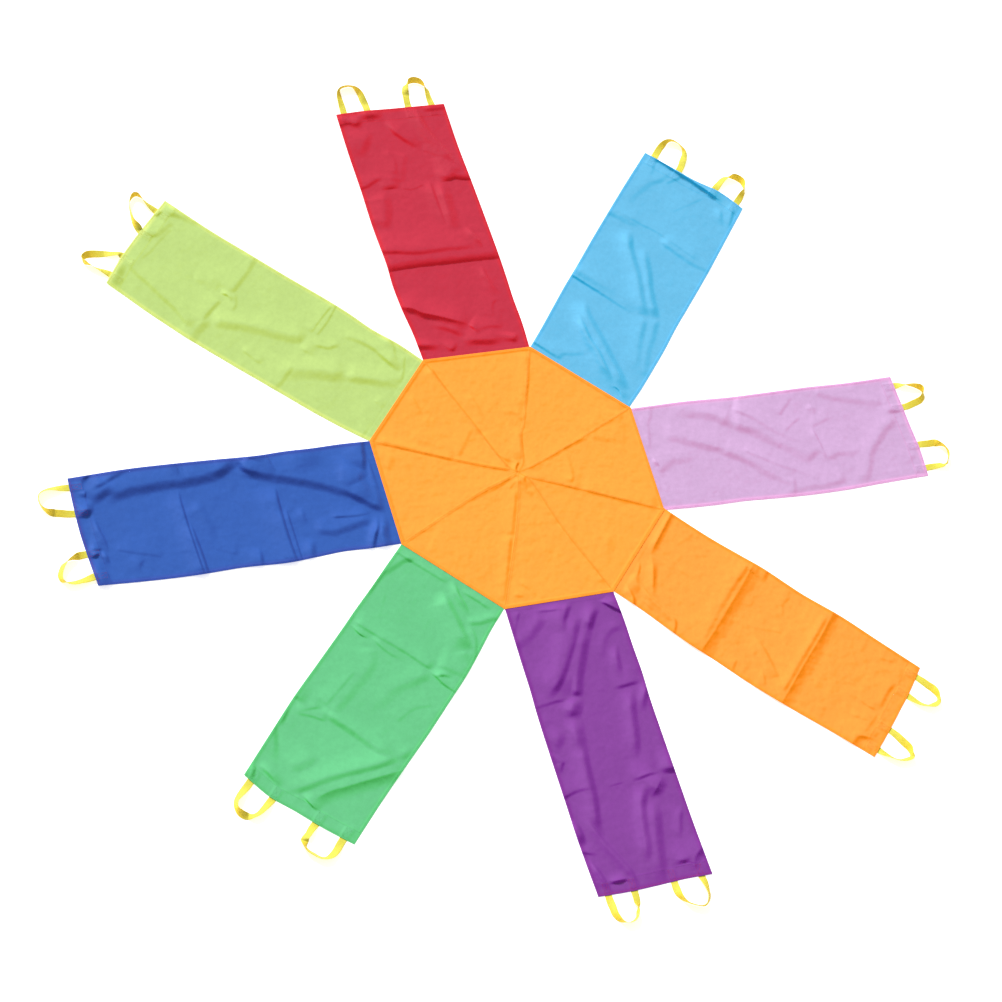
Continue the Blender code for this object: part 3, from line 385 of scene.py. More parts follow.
        ("soft", 20, (15, 15), 47, 75, [(65.9, 5.8), (79.8, 4.2), (89.8, 3.5), (111.7, 1.9)]),
        ("soft", 6, (6.6, 8.2), 14, 75, [(46, 2), (65, 2.4), (90, 2.7)]),
        ("soft", 75, (5.9, 14.3), 97, 75, [(79.6, 31.1), (84.7, 24.1), (93.8, 15.1)]),
    ],
    "lime": [
        ("soft", 24, (6.6, 7.4), 30, 41, [(29.3, 99.6), (24.3, 94.1), (22.3, 88.1), (19.3, 82.1), (16.3, 76.1), (12.2, 72.1), (9.2, 68.1)]),
        ("soft", 33, (1.4, 11.6), 40, 57, [(-9, 96.9), (10.1, 97.3), (20.2, 97.7), (30.5, 98.8)]),
        ("soft", 22, (4.7, 3.1), 37, 25, [(61.9, 100), (64.2, 96), (68, 94.5), (75.9, 94.1), (87.9, 93.2)]),
        ("soft", 8, (1.5, 1.2), 41, 18, [(37.2, 94.5), (50.1, 93.2), (62, 93.1), (81, 92.3)]),
        ("soft", 8, (2.6, 5), 20, 24, [(80, 99), (91, 98.4)]),
        ("soft", 24, (9.9, 0), 37, 53, [(90.1, 100), (91.7, 95.5), (93.9, 93), (96, 89), (99.2, 84.5)]),
        ("soft", 33, (2.4, 7.8), 40, 44, [(-7, 66.4), (8, 66.1), (15, 65.6), (22.1, 65), (29.1, 65.4)]),
        ("soft", 18, (4, 3.4), 45, 22, [(19.8, 66.8), (31.9, 66.2), (48.9, 65.4)]),
        ("soft", 9, (7.3, 2.8), 14, 34, [(52.6, 67.5), (54.1, 64.5), (49.7, 62.6)]),
        ("soft", 11, (2, 2.4), 24, 18, [(60.9, 63.1), (52, 60.8), (43, 60.3)]),
        ("soft", 21, (4.4, 3), 66, 25, [(57, 63.9), (70, 63.9), (85, 63.9), (104, 64.7)]),
        ("soft", 24, (1.8, 0.9), 41, 18, [(49.8, 77), (56.5, 67.9)]),
        ("soft", 37, (7, 5.6), 36, 39, [(22.2, 64), (29.1, 59.5), (34, 55.5), (39.9, 50), (43.8, 45), (47.8, 40.9), (51.7, 37.9), (57.6, 34.9)]),
        ("soft", 21, (2.6, 4), 72, 21, [(-3.3, 35.7), (8.1, 34.5), (18, 34.4), (30, 34.1)]),
        ("soft", 9, (1.6, 2.6), 36, 19, [(64, 35.5), (80, 35.6), (98, 35.2)]),
        ("soft", 9, (1.9, 2.3), 33, 18, [(63.9, 33.6), (80, 33.3), (90, 33.6), (103, 34.2)]),
        ("soft", 46, (3.2, 10.7), 36, 57, [(9.7, 35.6), (22.3, 31.6), (28.9, 28), (34.4, 24.8), (39.8, 20.7), (44.1, 16.7)]),
        ("soft", 35, (8.7, 5.5), 44, 48, [(42.3, 19.4), (45.1, 16.9), (49.9, 12.9), (54.7, 8.9), (58.5, 5.4), (58.8, 2)]),
        ("soft", 15, (4.5, 2.1), 18, 30, [(55, 33.2), (59.5, 28.6), (64, 27), (70.7, 25.1)]),
        ("soft", 14, (5.5, 0), 54, 30, [(46.3, 36.5), (45.9, 29.5)]),
        ("soft", 20, (0.4, 12.4), 26, 59, [(73.2, 28.5), (80, 24), (82.8, 20), (83, 16), (80.3, 12.5), (78.1, 9), (75.4, 4.6)]),
        ("soft", 13, (0, 8.9), 27, 37, [(82.9, 6.2), (89.7, 9.3), (95.4, 10.9), (103.8, 15.5)]),
        ("soft", 11, (2.1, 2.3), 22, 21, [(66.4, 1.9), (78.5, 3.5), (86.5, 5), (95.5, 6.5)]),
        ("soft", 13, (0, 2.8), 25, 18, [(-2.8, 3.5), (11.1, 2.7)]),
        ("soft", 10, (3.2, 0), 26, 19, [(39.1, 7.2), (34.4, 2)]),
        ("soft", 10, (3.5, 2), 23, 21, [(17.1, 51.5), (13.6, 43)]),
    ],
}
# Folds of the octagon, the same but with points in x and y in millimetres.
CENTRE_FOLDS = [
    ("soft", 19, (3.6, 3.1), 23, 34, [(-457, 189), (-400, 167), (-300, 124), (-200, 81)]),
    ("soft", 18, (1.7, 2.7), 54, 24, [(-215, 88), (-120, 49), (-61, 30), (-23, 16)]),
    ("soft", 8, (2.8, 2.8), 18, 34, [(-185, 466), (-145, 332), (-95, 217), (-74, 167)]),
    ("soft", 20, (3.1, 0), 24, 24, [(-184, 452), (-154, 352), (-114, 257)]),
    ("soft", 13, (3.1, 2.5), 20, 24, [(-81, 177), (-57, 112), (-44, 81), (-5, 45)]),
    ("soft", 18, (4, 2.5), 34, 34, [(188, 469), (149, 350), (107, 248)]),
    ("soft", 18, (2.9, 1.1), 21, 24, [(81, 199), (92, 214), (103, 227)]),
    ("soft", 16, (3.4, 4.5), 28, 34, [(66, 180), (49, 111), (37, 52)]),
    ("soft", 10, (5, 5), 14, 10, [(22, 48), (8, 33), (1, 19), (3, 4), (16, -6), (29, -10)]),
    ("soft", 33, (1.4, 2.7), 46, 22, [(437, 183), (372, 153), (292, 121)]),
    ("soft", 16, (2.1, 3.1), 38, 34, [(302, 107), (237, 87), (177, 66)]),
    ("soft", 18, (3, 0), 29, 24, [(192, 71), (131, 45), (60, 25)]),
    ("soft", 39, (2.3, 4.6), 50, 22, [(110, 28), (70, 18), (40, 14)]),
    ("soft", 25, (3.2, 4.2), 65, 34, [(464, -198), (400, -171), (300, -129), (201, -82)]),
    ("soft", 21, (3.5, 2.5), 39, 34, [(214, -92), (110, -43), (38, -13)]),
    ("soft", 7, (2.4, 2.4), 17, 24, [(180, -447), (161, -380), (121, -270), (87, -197)]),
    ("soft", 7, (1.5, 2.4), 17, 24, [(95, -205), (60, -120), (38, -50)]),
    ("soft", 16, (2.1, 3.7), 27, 34, [(-194, -466), (-163, -391), (-129, -311), (-91, -216)]),
    ("soft", 16, (2.7, 3.5), 28, 34, [(-93, -232), (-58, -151), (-17, -46)]),
    ("soft", 23, (1.8, 0), 36, 22, [(-458, -188), (-400, -165), (-300, -128), (-220, -90)]),
    ("soft", 16, (0.4, 3.1), 47, 24, [(-250, -100), (-160, -62), (-90, -39), (-17, -5)]),
    ("soft", 15, (2, 1.7), 43, 24, [(-188, 92), (-147, 144), (-102, 200)]),
    ("soft", 10, (3.5, 0.5), 18, 22, [(-282, 356), (-271, 310), (-265, 268)]),
    ("soft", 15, (1.7, 0), 28, 22, [(-248, 268), (-252, 241), (-264, 211)]),
    ("soft", 11, (3.8, 0.8), 20, 22, [(-74, 332), (-59, 282), (-46, 239)]),
    ("soft", 18, (0.1, 3.2), 24, 24, [(8, 237), (50, 236), (89, 221)]),
    ("soft", 12, (1.3, 0.3), 34, 22, [(-62, -185), (0, -192), (82, -197)]),
    ("soft", 12, (3.6, 0.6), 21, 22, [(181, -63), (199, -20), (201, 68)]),
    ("soft", 27, (2.9, 0.6), 50, 22, [(300, 102), (370, 84), (439, 70)]),
    ("soft", 22, (2.6, 0), 36, 22, [(452, 196), (441, 150), (447, 110)]),
    ("soft", 24, (1.6, 2.3), 33, 22, [(-444, 72), (-423, 112), (-408, 141)]),
    ("soft", 15, (1, 3.6), 16, 22, [(-85, -464), (-98, -426), (-124, -392)]),
    ("soft", 13, (4.3, 0.1), 21, 24, [(-160, -440), (-130, -450), (-105, -452)]),
    ("soft", 33, (0.9, 2.9), 37, 22, [(197, -354), (236, -326), (270, -275)]),
    ("soft", 23, (1.3, 0.3), 44, 22, [(-298, -114), (-189, -63), (-79, -22)]),
    ("soft", 30, (1.2, 0), 49, 22, [(130, 232), (124, 210), (130, 190)]),
    ("soft", 34, (4.2, 0.9), 24, 22, [(-27, -19), (0, -50), (19, -91)]),
    ("soft", 11, (2.5, 0), 22, 22, [(-50, -56), (-24, -32), (1, -13)]),
    ("soft", 13, (0.1, 1.6), 25, 24, [(21, -22), (16, -50), (14, -70)]),
    ("soft", 21, (4.6, 0.3), 36, 24, [(-8, -14), (5, -33), (23, -64)]),
    ("soft", 11, (2.5, 0.45), 16, 22, [(-15, 57), (6, 50), (24, 52)]),
    ("soft", 52, (2.1, 0.5), 82, 22, [(-403, -224), (-303, -302), (-262, -381)]),
    ("soft", 31, (0.5, 0), 61, 22, [(331, 329), (261, 270), (200, 180)]),
    ("soft", 26, (3.4, 0.2), 36, 22, [(-337, 202), (-299, 162), (-200, 120)]),
]



# Each loop from its left foot to its right one, as the camera sees it on the ground:
# (to the left of the strip's axis, outward from the nominal hem, tilt), in millimetres
# and degrees. The webbing lies flat at a tilt of 0, stands with its outer edge up at
# 90 and with its inner edge up at -90.
LOOPS = {
    "red": (
        [(194, -5, 0), (193, 18, 2), (192, 41, 14), (191, 64, 26), (186, 86, 48), (174, 103, 91), (153, 109, 106), (131, 106, 111), (117, 89, 77), (110, 68, 51), (108, 46, 27), (105, 23, 6), (104, 0, 0)],
        [(-53, 2, 0), (-55, 25, 4), (-58, 48, 1), (-62, 71, -34), (-70, 92, -57), (-86, 108, -116), (-104, 113, -122), (-125, 107, -105), (-139, 90, -76), (-144, 68, -36), (-142, 45, -21), (-142, 22, -8), (-143, -1, 0)],
    ),
    "sky_blue": (
        [(200, 1, 0), (201, 24, 3), (201, 46, 13), (198, 69, 33), (191, 90, 74), (177, 106, 112), (156, 109, 123), (136, 102, 112), (120, 88, 76), (110, 68, 37), (105, 46, 18), (100, 24, 5), (98, 2, 0)],
        [(-48, 9, 0), (-49, 31, -11), (-51, 53, -28), (-54, 75, -35), (-62, 96, -55), (-77, 111, -106), (-95, 117, -121), (-116, 115, -114), (-131, 101, -90), (-141, 81, -62), (-141, 59, -33), (-141, 37, -11), (-140, 15, 0)],
    ),
    "pink": (
        [(156, 1, 0), (158, 23, -23), (158, 44, -51), (154, 65, -78), (148, 86, -96), (138, 104, -111), (123, 110, -86), (105, 104, -46), (90, 89, -32), (82, 69, -16), (76, 48, -13), (70, 27, -7), (67, 6, 0)],
        [(-88, 4, 0), (-88, 26, 9), (-89, 48, 15), (-89, 71, 27), (-97, 91, 82), (-110, 109, 115), (-132, 113, 104), (-153, 106, 97), (-171, 93, 110), (-178, 73, 34), (-180, 50, 15), (-181, 28, 3), (-182, 6, 0)],
    ),
    "orange": (
        [(152, 1, 0), (151, 21, 12), (149, 41, 22), (148, 61, 34), (142, 79, 67), (129, 93, 89), (111, 97, 52), (96, 92, 34), (82, 79, 49), (73, 61, 43), (68, 42, 29), (67, 22, 15), (67, 2, 0)],
        [(-90, 2, 0), (-93, 23, 13), (-98, 43, 29), (-103, 63, 39), (-109, 83, 58), (-123, 97, 84), (-137, 102, 51), (-153, 92, 46), (-167, 77, 53), (-175, 58, 53), (-178, 37, 42), (-181, 17, 22), (-182, -4, 0)],
    ),
    "purple": (
        [(165, 2, 0), (170, 22, -18), (171, 43, -38), (170, 64, -50), (162, 82, -61), (148, 96, -82), (129, 97, -107), (109, 89, -109), (92, 79, -108), (78, 64, -88), (69, 45, -57), (66, 25, -18), (66, 4, 0)],
        [(-77, 12, 0), (-78, 32, -6), (-81, 52, -24), (-85, 71, -95), (-93, 90, -98), (-107, 103, -106), (-125, 107, -112), (-145, 102, -100), (-158, 87, -68), (-165, 69, -52), (-166, 49, -37), (-168, 29, -14), (-168, 9, 0)],
    ),
    "green": (
        [(151, 7, 0), (151, 29, 4), (152, 51, 17), (149, 73, 28), (140, 91, 49), (122, 102, 49), (100, 104, 45), (79, 104, 47), (60, 95, 48), (50, 76, -19), (51, 54, -33), (51, 32, -17), (53, 10, 0)],
        [(-102, 20, 0), (-105, 42, 21), (-108, 63, 35), (-113, 85, 44), (-124, 103, 38), (-140, 115, -11), (-160, 117, -43), (-179, 111, -73), (-192, 93, -63), (-194, 71, -42), (-192, 50, -24), (-190, 28, -6), (-189, 6, 0)],
    ),
    "blue": (
        [(164, 15, 0), (171, 35, 18), (174, 55, 32), (176, 76, 38), (172, 97, 53), (162, 113, 94), (143, 115, 120), (124, 107, 123), (107, 95, 121), (94, 78, 99), (87, 59, 76), (84, 38, 22), (82, 17, 0)],
        [(-67, 18, 0), (-70, 40, -10), (-75, 61, -18), (-80, 83, -26), (-90, 102, -80), (-106, 116, -104), (-126, 121, -102), (-147, 118, -88), (-161, 105, -66), (-167, 84, -51), (-167, 62, -36), (-165, 40, -14), (-163, 18, 0)],
    ),
    "lime": (
        [(176, 1, 0), (179, 23, 25), (183, 46, 48), (185, 69, 60), (188, 91, 86), (181, 107, 67), (162, 104, 44), (145, 90, 22), (131, 72, 12), (117, 55, -3), (102, 38, -24), (88, 21, -27), (86, -1, 0)],
        [(-38, 2, 0), (-47, 23, -31), (-57, 45, -76), (-72, 63, -93), (-89, 79, -99), (-108, 93, -100), (-128, 102, -101), (-150, 103, -108), (-161, 92, -88), (-158, 70, -61), (-150, 47, -39), (-145, 25, -14), (-142, 2, 0)],
    ),
}

# ---------------------------------------------------------------- colours
# The flat cloth, then the painted shade colour it turns to where a fold turns away
# from the light, then its hems, where two or three layers lie over one another.
CENTRE = ((1.115, 0.683, 0.255), (1.115, 0.635, 0.041), (1.115, 0.655, 0.205))
CLOTHS = {
    "red": ((0.802, 0.197, 0.285), (1.027, 0.154, 0.231), (0.868, 0.168, 0.238)),
    "sky_blue": ((0.426, 0.766, 0.932), (0.215, 0.852, 1.063), (0.410, 0.768, 0.960)),
    "pink": ((0.853, 0.695, 0.869), (0.961, 0.612, 0.845), (0.952, 0.708, 0.912)),
    "orange": ((1.115, 0.663, 0.260), (1.115, 0.616, 0.043), (1.115, 0.655, 0.205)),
    "purple": ((0.555, 0.273, 0.639), (0.599, 0.180, 0.722), (0.548, 0.222, 0.618)),
    "green": ((0.426, 0.810, 0.555), (0.396, 0.946, 0.488), (0.398, 0.810, 0.515)),
    "blue": ((0.211, 0.390, 0.739), (0.227, 0.363, 0.762), (0.232, 0.340, 0.708)),
    "lime": ((0.774, 0.885, 0.519), (0.879, 0.977, 0.341), (0.880, 0.952, 0.540)),
}
THREADS = {  # the hem's own thread, and the one that catches the webbing
    "red": ((0.720, 0.150, 0.230), (0.800, 0.150, 0.250)),
    "sky_blue": ((0.370, 0.700, 0.900), (0.370, 0.700, 0.900)),
    "pink": ((0.960, 0.620, 0.860), (0.900, 0.600, 0.850)),
    "orange": ((1.100, 0.600, 0.160), (1.100, 0.590, 0.150)),
    "purple": ((0.520, 0.200, 0.580), (0.820, 0.160, 0.450)),
    "green": ((0.330, 0.760, 0.480), (0.400, 0.780, 0.500)),
    "blue": ((0.230, 0.260, 0.680), (0.640, 0.150, 0.480)),
    "lime": ((0.850, 0.930, 0.420), (0.900, 0.880, 0.300)),
}
WEBBING = (0.962, 0.928, 0.345)
# painted shade: the webbing's colour where it turns away from the light
WEBBING_PAINTED_SHADE = (1.090, 0.945, 0.250)  # the webbing where it turns away from the light
MOTTLE = 0.16  # how uneven the cloth's colour is over a centimetre or two
# strips more crinkled than the others
CRINKLED = {"red": 1.3, "pink": 1.3, "orange": 1.8, "purple": 1.25, "blue": 1.3}


def linear(c):
    return c / 12.92 if c <= 0.04045 else ((c + 0.055) / 1.055) ** 2.4


def rgba(colour):
    """The dye of cloth that shows in this colour where it lies flat in the light."""
    return (*(min(0.985, linear(c) / LEVEL) for c in colour), 1.0)


class Graph:
    """Short calls for adding shader nodes."""

    def __init__(self, name):
        self.material = bpy.data.materials.new(name)
        self.material.use_nodes = True
        self.tree = self.material.node_tree
        self.shader = self.tree.nodes["Principled BSDF"]

    def node(self, kind, **values):
        made = self.tree.nodes.new(kind)
        for key, value in values.items():
            if key in made.inputs:
                made.inputs[key].default_value = value
            else:
                setattr(made, key, value)
        return made

    def link(self, source, target):
        self.tree.links.new(source, target)

    def math(self, operation, a, b=0.0, c=0.0):
        made = self.node("ShaderNodeMath", operation=operation)
        for socket, value in zip(made.inputs, (a, b, c)):
            if isinstance(value, (int, float)):
                socket.default_value = value
            else:
                self.link(value, socket)
        return made.outputs[0]

    def mix(self, share, a, b, blend="MIX"):
        made = self.node("ShaderNodeMix", data_type="RGBA", blend_type=blend)
        for socket, value in zip((made.inputs[0], made.inputs[6], made.inputs[7]), (share, a, b)):
            if isinstance(value, (int, float, tuple)):
                socket.default_value = value
            else:
                self.link(value, socket)
        return made.outputs[2]

    def noise(self, vector, scale, detail=2.0, rough=0.5):
        made = self.node(
            "ShaderNodeTexNoise", Scale=scale, Detail=detail, Roughness=rough
        )
        self.link(vector, made.inputs["Vector"])
        return made.outputs["Fac"]

    def stretch(self, vector, x, y, z=1.0):
        made = self.node("ShaderNodeMapping")
        made.inputs["Scale"].default_value = (x, y, z)
        self.link(vector, made.inputs["Vector"])
        return made.outputs[0]

    def band(self, value, low, high):
        """0 below low and 1 above high, smooth between."""
        made = self.node("ShaderNodeMapRange", interpolation_type="SMOOTHSTEP")
        made.inputs["From Min"].default_value = low
        made.inputs["From Max"].default_value = high
        self.link(value, made.inputs["Value"])
        return made.outputs[0]


def cloth_material(name, colour, deep, edge, depth=0.60, seam_tone_and_painted_shade=0.20):
    """Light plain-woven polyester: two sets of threads, slubs along both, slightly
    uneven dye, painted shade where a fold turns away from the light (a deeper colour,
    at its strongest where the place has lost `depth` of the light), fuller colour where
    the hem lies in two or three layers, and along the seams a line of double layer and
    painted shade."""
    g = Graph(name)
    flat = g.node("ShaderNodeUVMap", uv_map="cloth").outputs[0]
    x, y, _ = g.node("ShaderNodeSeparateXYZ").outputs
    g.link(flat, x.node.inputs[0])
    # dye: broad unevenness, then slubs along the weft and the warp
    broad = g.noise(flat, 9.0, 3.0, 0.55)
    weft = g.noise(g.stretch(flat, 60.0, 420.0), 1.0, 2.0, 0.6)
    warp = g.noise(g.stretch(flat, 420.0, 60.0), 1.0, 2.0, 0.6)
    grain = g.math("ADD", g.math("MULTIPLY", weft, 0.5), g.math("MULTIPLY", warp, 0.5))
    light, dark = tuple(c * 1.008 for c in colour), tuple(c * 0.990 for c in colour)
    base = g.mix(g.band(broad, 0.30, 0.70), rgba(dark), rgba(light))
    # painted shade: the colour turns towards the deeper one by the light each place loses where it turns away from the
    # lamp
    away = g.node("ShaderNodeAttribute", attribute_name="away").outputs["Fac"]
    base = g.mix(g.math("DIVIDE", away, depth), base, rgba(deep))
    mottle = g.noise(flat, 62.0, 3.0, 0.62)
    shade = g.math("ADD", g.math("MULTIPLY", grain, 0.16), g.math("MULTIPLY", mottle, MOTTLE))
    shade = g.math("ADD", shade, 0.92 - 0.5 * MOTTLE)
    grey = g.node("ShaderNodeCombineColor")
    for socket in grey.inputs[:3]:
        g.link(shade, socket)
    base = g.mix(1.0, base, grey.outputs[0], "MULTIPLY")
    rim = g.node("ShaderNodeAttribute", attribute_name="rim").outputs["Fac"]
    # the hems' fuller colour, with the same painted shade where they turn away from the light
    full = g.mix(g.math("DIVIDE", away, depth), rgba(edge), rgba(deep))
    base = g.mix(g.math("SUBTRACT", 1.0, g.band(rim, 0.005, 0.021)), base, full)
    # along the seams and the hem's fold line: a double layer of cloth and a line of painted shade, a little darker than
    # the painted shade colour
    seam = g.node("ShaderNodeAttribute", attribute_name="seam").outputs["Fac"]
    at_seam = g.math("SUBTRACT", 1.0, g.band(seam, 0.0006, 0.0030))
    double_layer_and_painted_shade = rgba(tuple(c * 0.94 for c in deep))
    base = g.mix(g.math("MULTIPLY", at_seam, seam_tone_and_painted_shade), base, double_layer_and_painted_shade)
    g.link(base, g.shader.inputs["Base Color"])
    # weave: a plain weave of 0.9 mm threads under fine crumpling
    turns = 2 * math.pi / 0.0018
    over = g.math("SINE", g.math("MULTIPLY", x, turns))
    under = g.math("SINE", g.math("MULTIPLY", y, turns))
    weave = g.math("MULTIPLY", over, under)
    crumple = g.noise(flat, 130.0, 4.0, 0.6)
    height = g.math(
        "ADD", g.math("MULTIPLY", weave, 0.16), g.math("MULTIPLY", crumple, 0.8)
    )
    height = g.math("ADD", height, g.math("MULTIPLY", grain, 0.6))
    bump = g.node("ShaderNodeBump", Strength=0.25, Distance=0.0009)
    g.link(height, bump.inputs["Height"])
    g.link(bump.outputs[0], g.shader.inputs["Normal"])
    rough = g.math("ADD", g.math("MULTIPLY", grain, 0.16), 0.55)
    g.link(rough, g.shader.inputs["Roughness"])
    g.shader.inputs["Specular IOR Level"].default_value = 0.12
    g.shader.inputs["Sheen Weight"].default_value = 0.03
    g.shader.inputs["Sheen Roughness"].default_value = 0.45
    return g.material


def webbing_material(name, colour):
    """Woven polypropylene tape: fine ribs along it, crossed picks, selvedges."""
    g = Graph(name)
    flat = g.node("ShaderNodeUVMap", uv_map="cloth").outputs[0]
    x, y, _ = g.node("ShaderNodeSeparateXYZ").outputs
    g.link(flat, x.node.inputs[0])
    ribs = g.math("SINE", g.math("MULTIPLY", x, 2 * math.pi / 0.0021))
    picks = g.math("SINE", g.math("MULTIPLY", y, 2 * math.pi / 0.0016))
    weave = g.math("ADD", g.math("MULTIPLY", ribs, 0.6), g.math("MULTIPLY", g.math("MULTIPLY", ribs, picks), 0.5))
    uneven = g.noise(g.stretch(flat, 300.0, 40.0), 1.0, 3.0, 0.6)
    deep = tuple(c * f for c, f in zip(colour, (0.95, 0.92, 0.70)))
    base = g.mix(g.band(g.math("ADD", g.math("MULTIPLY", weave, 0.25), uneven), 0.15, 0.62), rgba(deep), rgba(colour))
    rim = g.node("ShaderNodeAttribute", attribute_name="rim").outputs["Fac"]
    at_rim = g.math("SUBTRACT", 1.0, g.band(rim, 0.0006, 0.0022))
    base = g.mix(g.math("MULTIPLY", at_rim, 0.45), base, rgba(tuple(c * f for c, f in zip(colour, (0.93, 0.88, 0.62)))))
    # painted shade: the webbing turns gold where it faces away from the light
    away = g.node("ShaderNodeAttribute", attribute_name="away").outputs["Fac"]
    base = g.mix(g.math("DIVIDE", away, 0.50), base, rgba(WEBBING_PAINTED_SHADE))
    g.link(base, g.shader.inputs["Base Color"])
    bump = g.node("ShaderNodeBump", Strength=0.5, Distance=0.0005)
    g.link(weave, bump.inputs["Height"])
    g.link(bump.outputs[0], g.shader.inputs["Normal"])
    g.link(g.math("ADD", g.math("MULTIPLY", uneven, 0.2), 0.45), g.shader.inputs["Roughness"])
    g.shader.inputs["Specular IOR Level"].default_value = 0.3
    return g.material


def thread_material(name, colour):
    """Twisted sewing thread."""
    g = Graph(name)
    place = g.node("ShaderNodeNewGeometry").outputs["Position"]
    twist = g.noise(place, 900.0, 2.0, 0.6)
    base = g.mix(g.band(twist, 0.35, 0.65), rgba(tuple(c * 0.85 for c in colour)), rgba(colour))
    g.link(base, g.shader.inputs["Base Color"])
    g.link(g.math("ADD", g.math("MULTIPLY", twist, 0.2), 0.45), g.shader.inputs["Roughness"])
    bump = g.node("ShaderNodeBump", Strength=0.3, Distance=0.0002)
    g.link(twist, bump.inputs["Height"])
    g.link(bump.outputs[0], g.shader.inputs["Normal"])
    g.shader.inputs["Specular IOR Level"].default_value = 0.3
    return g.material


# ---------------------------------------------------------------- shaping tools
def smoothstep(x):
    x = np.clip(x, 0.0, 1.0)
    return x * x * (3 - 2 * x)


class Noise:
    """Smooth noise from -1 to 1 over a plane, always the same for one seed."""

    def __init__(self, seed):
        self.table = np.random.default_rng(seed).uniform(-1, 1, (64, 64))

    def __call__(self, x, y):
        x, y = np.asarray(x, float), np.asarray(y, float)
        x, y = np.broadcast_arrays(x, y)
        i, j = np.floor(x).astype(int), np.floor(y).astype(int)
        a, b = x - i, y - j
        a, b = a**3 * (a * (a * 6 - 15) + 10), b**3 * (b * (b * 6 - 15) + 10)
        t = self.table
        i0, i1, j0, j1 = i % 64, (i + 1) % 64, j % 64, (j + 1) % 64
        low = t[i0, j0] * (1 - a) + t[i1, j0] * a
        high = t[i0, j1] * (1 - a) + t[i1, j1] * a
        return low * (1 - b) + high * b


def crinkled(noise, x, y):
    """Small crinkles of light cloth, from a few centimetres down to half of one."""
    h = 0.00034 * noise(x / 0.024 + 5, y / 0.024 + 1)
    h += 0.00020 * noise(x / 0.013 + 11, y / 0.013 + 7)
    return h + 0.00008 * noise(x / 0.007 + 3, y / 0.007 + 17)


def creased(noise, x, y):
    """Noise folded into soft ridges with sharper valleys, from 0 to 1."""
    return 1 - np.abs(noise(x, y)) ** 0.8


def through(points, n):
    """n points along a smooth curve through the given points, evenly spaced."""
    p = np.array(points, float)
    if len(p) == 2:
        t = np.linspace(0, 1, n)[:, None]
        return p[0] * (1 - t) + p[1] * t
    ends = np.vstack([2 * p[0] - p[1], p, 2 * p[-1] - p[-2]])
    dense = []
    for k in range(1, len(ends) - 2):
        t = np.linspace(0, 1, 24, endpoint=False)[:, None]
        a, b, c, d = ends[k - 1 : k + 3]
        dense.append(
            0.5
            * (
                2 * b
                + (c - a) * t
                + (2 * a - 5 * b + 4 * c - d) * t**2
                + (3 * b - a - 3 * c + d) * t**3
            )
        )
    dense = np.vstack([*dense, p[-1:]])
    along = np.concatenate([[0], np.cumsum(np.linalg.norm(np.diff(dense, axis=0), axis=1))])
    at = np.linspace(0, along[-1], n)
    return np.stack([np.interp(at, along, dense[:, k]) for k in range(p.shape[1])], 1)


def fold_height(fold, place, light, unit):
    """The height that one fold adds at each place. Its points are in the given units."""
    kind, width, (first, last), reach, end, points = fold
    width, first, last, reach, end = (x / 1000 for x in (width, first, last, reach, end))
    line = through(np.array(points) * unit, 36 if len(points) > 2 else 18)
    way = np.gradient(line, axis=0)
    way /= np.linalg.norm(way, axis=1)[:, None]
    side = np.stack([-way[:, 1], way[:, 0]], 1)
    if (side @ light).sum() < 0:
        side = -side
    everywhere = place.reshape(-1, 2)
    margin = width + 3 * reach
    close = (everywhere > line.min(0) - margin) & (everywhere < line.max(0) + margin)
    close = np.flatnonzero(close.all(1))
    flat = everywhere[close]
    near = np.full(len(flat), 1e9)
    across, along = np.zeros(len(flat)), np.zeros(len(flat))
    for k in range(len(line) - 1):
        a, d = line[k], line[k + 1] - line[k]
        t = np.clip((flat - a) @ d / (d @ d), 0, 1)
        gap = flat - a - t[:, None] * d
        far = (gap**2).sum(1)
        better = far < near
        near = np.where(better, far, near)
        turn = side[k] * (1 - t[:, None]) + side[k + 1] * t[:, None]
        sign = np.where((gap * turn).sum(1) < 0, -1.0, 1.0)
        across = np.where(better, sign * np.sqrt(far), across)
        along = np.where(better, (k + t) / (len(line) - 1), along)
    length = np.linalg.norm(np.diff(line, axis=0), axis=1).sum()
    ease = min(0.45, end / length)
    strength = smoothstep(along / ease) * smoothstep((1 - along) / ease)
    height = (first * (1 - along) + last * along) * strength
    t = (across + width / 2) / width
    rise = np.clip(t, 0, 1)
    if kind == "foot":
        rise = 2 * rise - rise**2
    elif kind == "crest":
        rise = rise**2
    else:
        rise = smoothstep(rise)
    fall = np.exp(-((np.clip(t - 1, 0, None) * width / reach) ** 1.6) * 1.2)
    raised = np.zeros(len(everywhere))
    raised[close] = height * rise * fall
    return raised.reshape(place.shape[:-1])


def above_ground(height, ease=0.0006):
    return 0.5 * (height + np.sqrt(height**2 + ease**2))


def where_it_stands(seen, height):
    """Points at these heights that the camera sees over these places on the ground."""
    height = np.asarray(height)[..., None]
    return np.concatenate([seen - (seen - CAMERA_AT[:2]) / CAMERA_AT[2] * height, height], -1)


def new_object(name, mesh, material):
    mesh.materials.append(material)
    made = bpy.data.objects.new(name, mesh)
    bpy.context.scene.collection.objects.link(made)
    return made


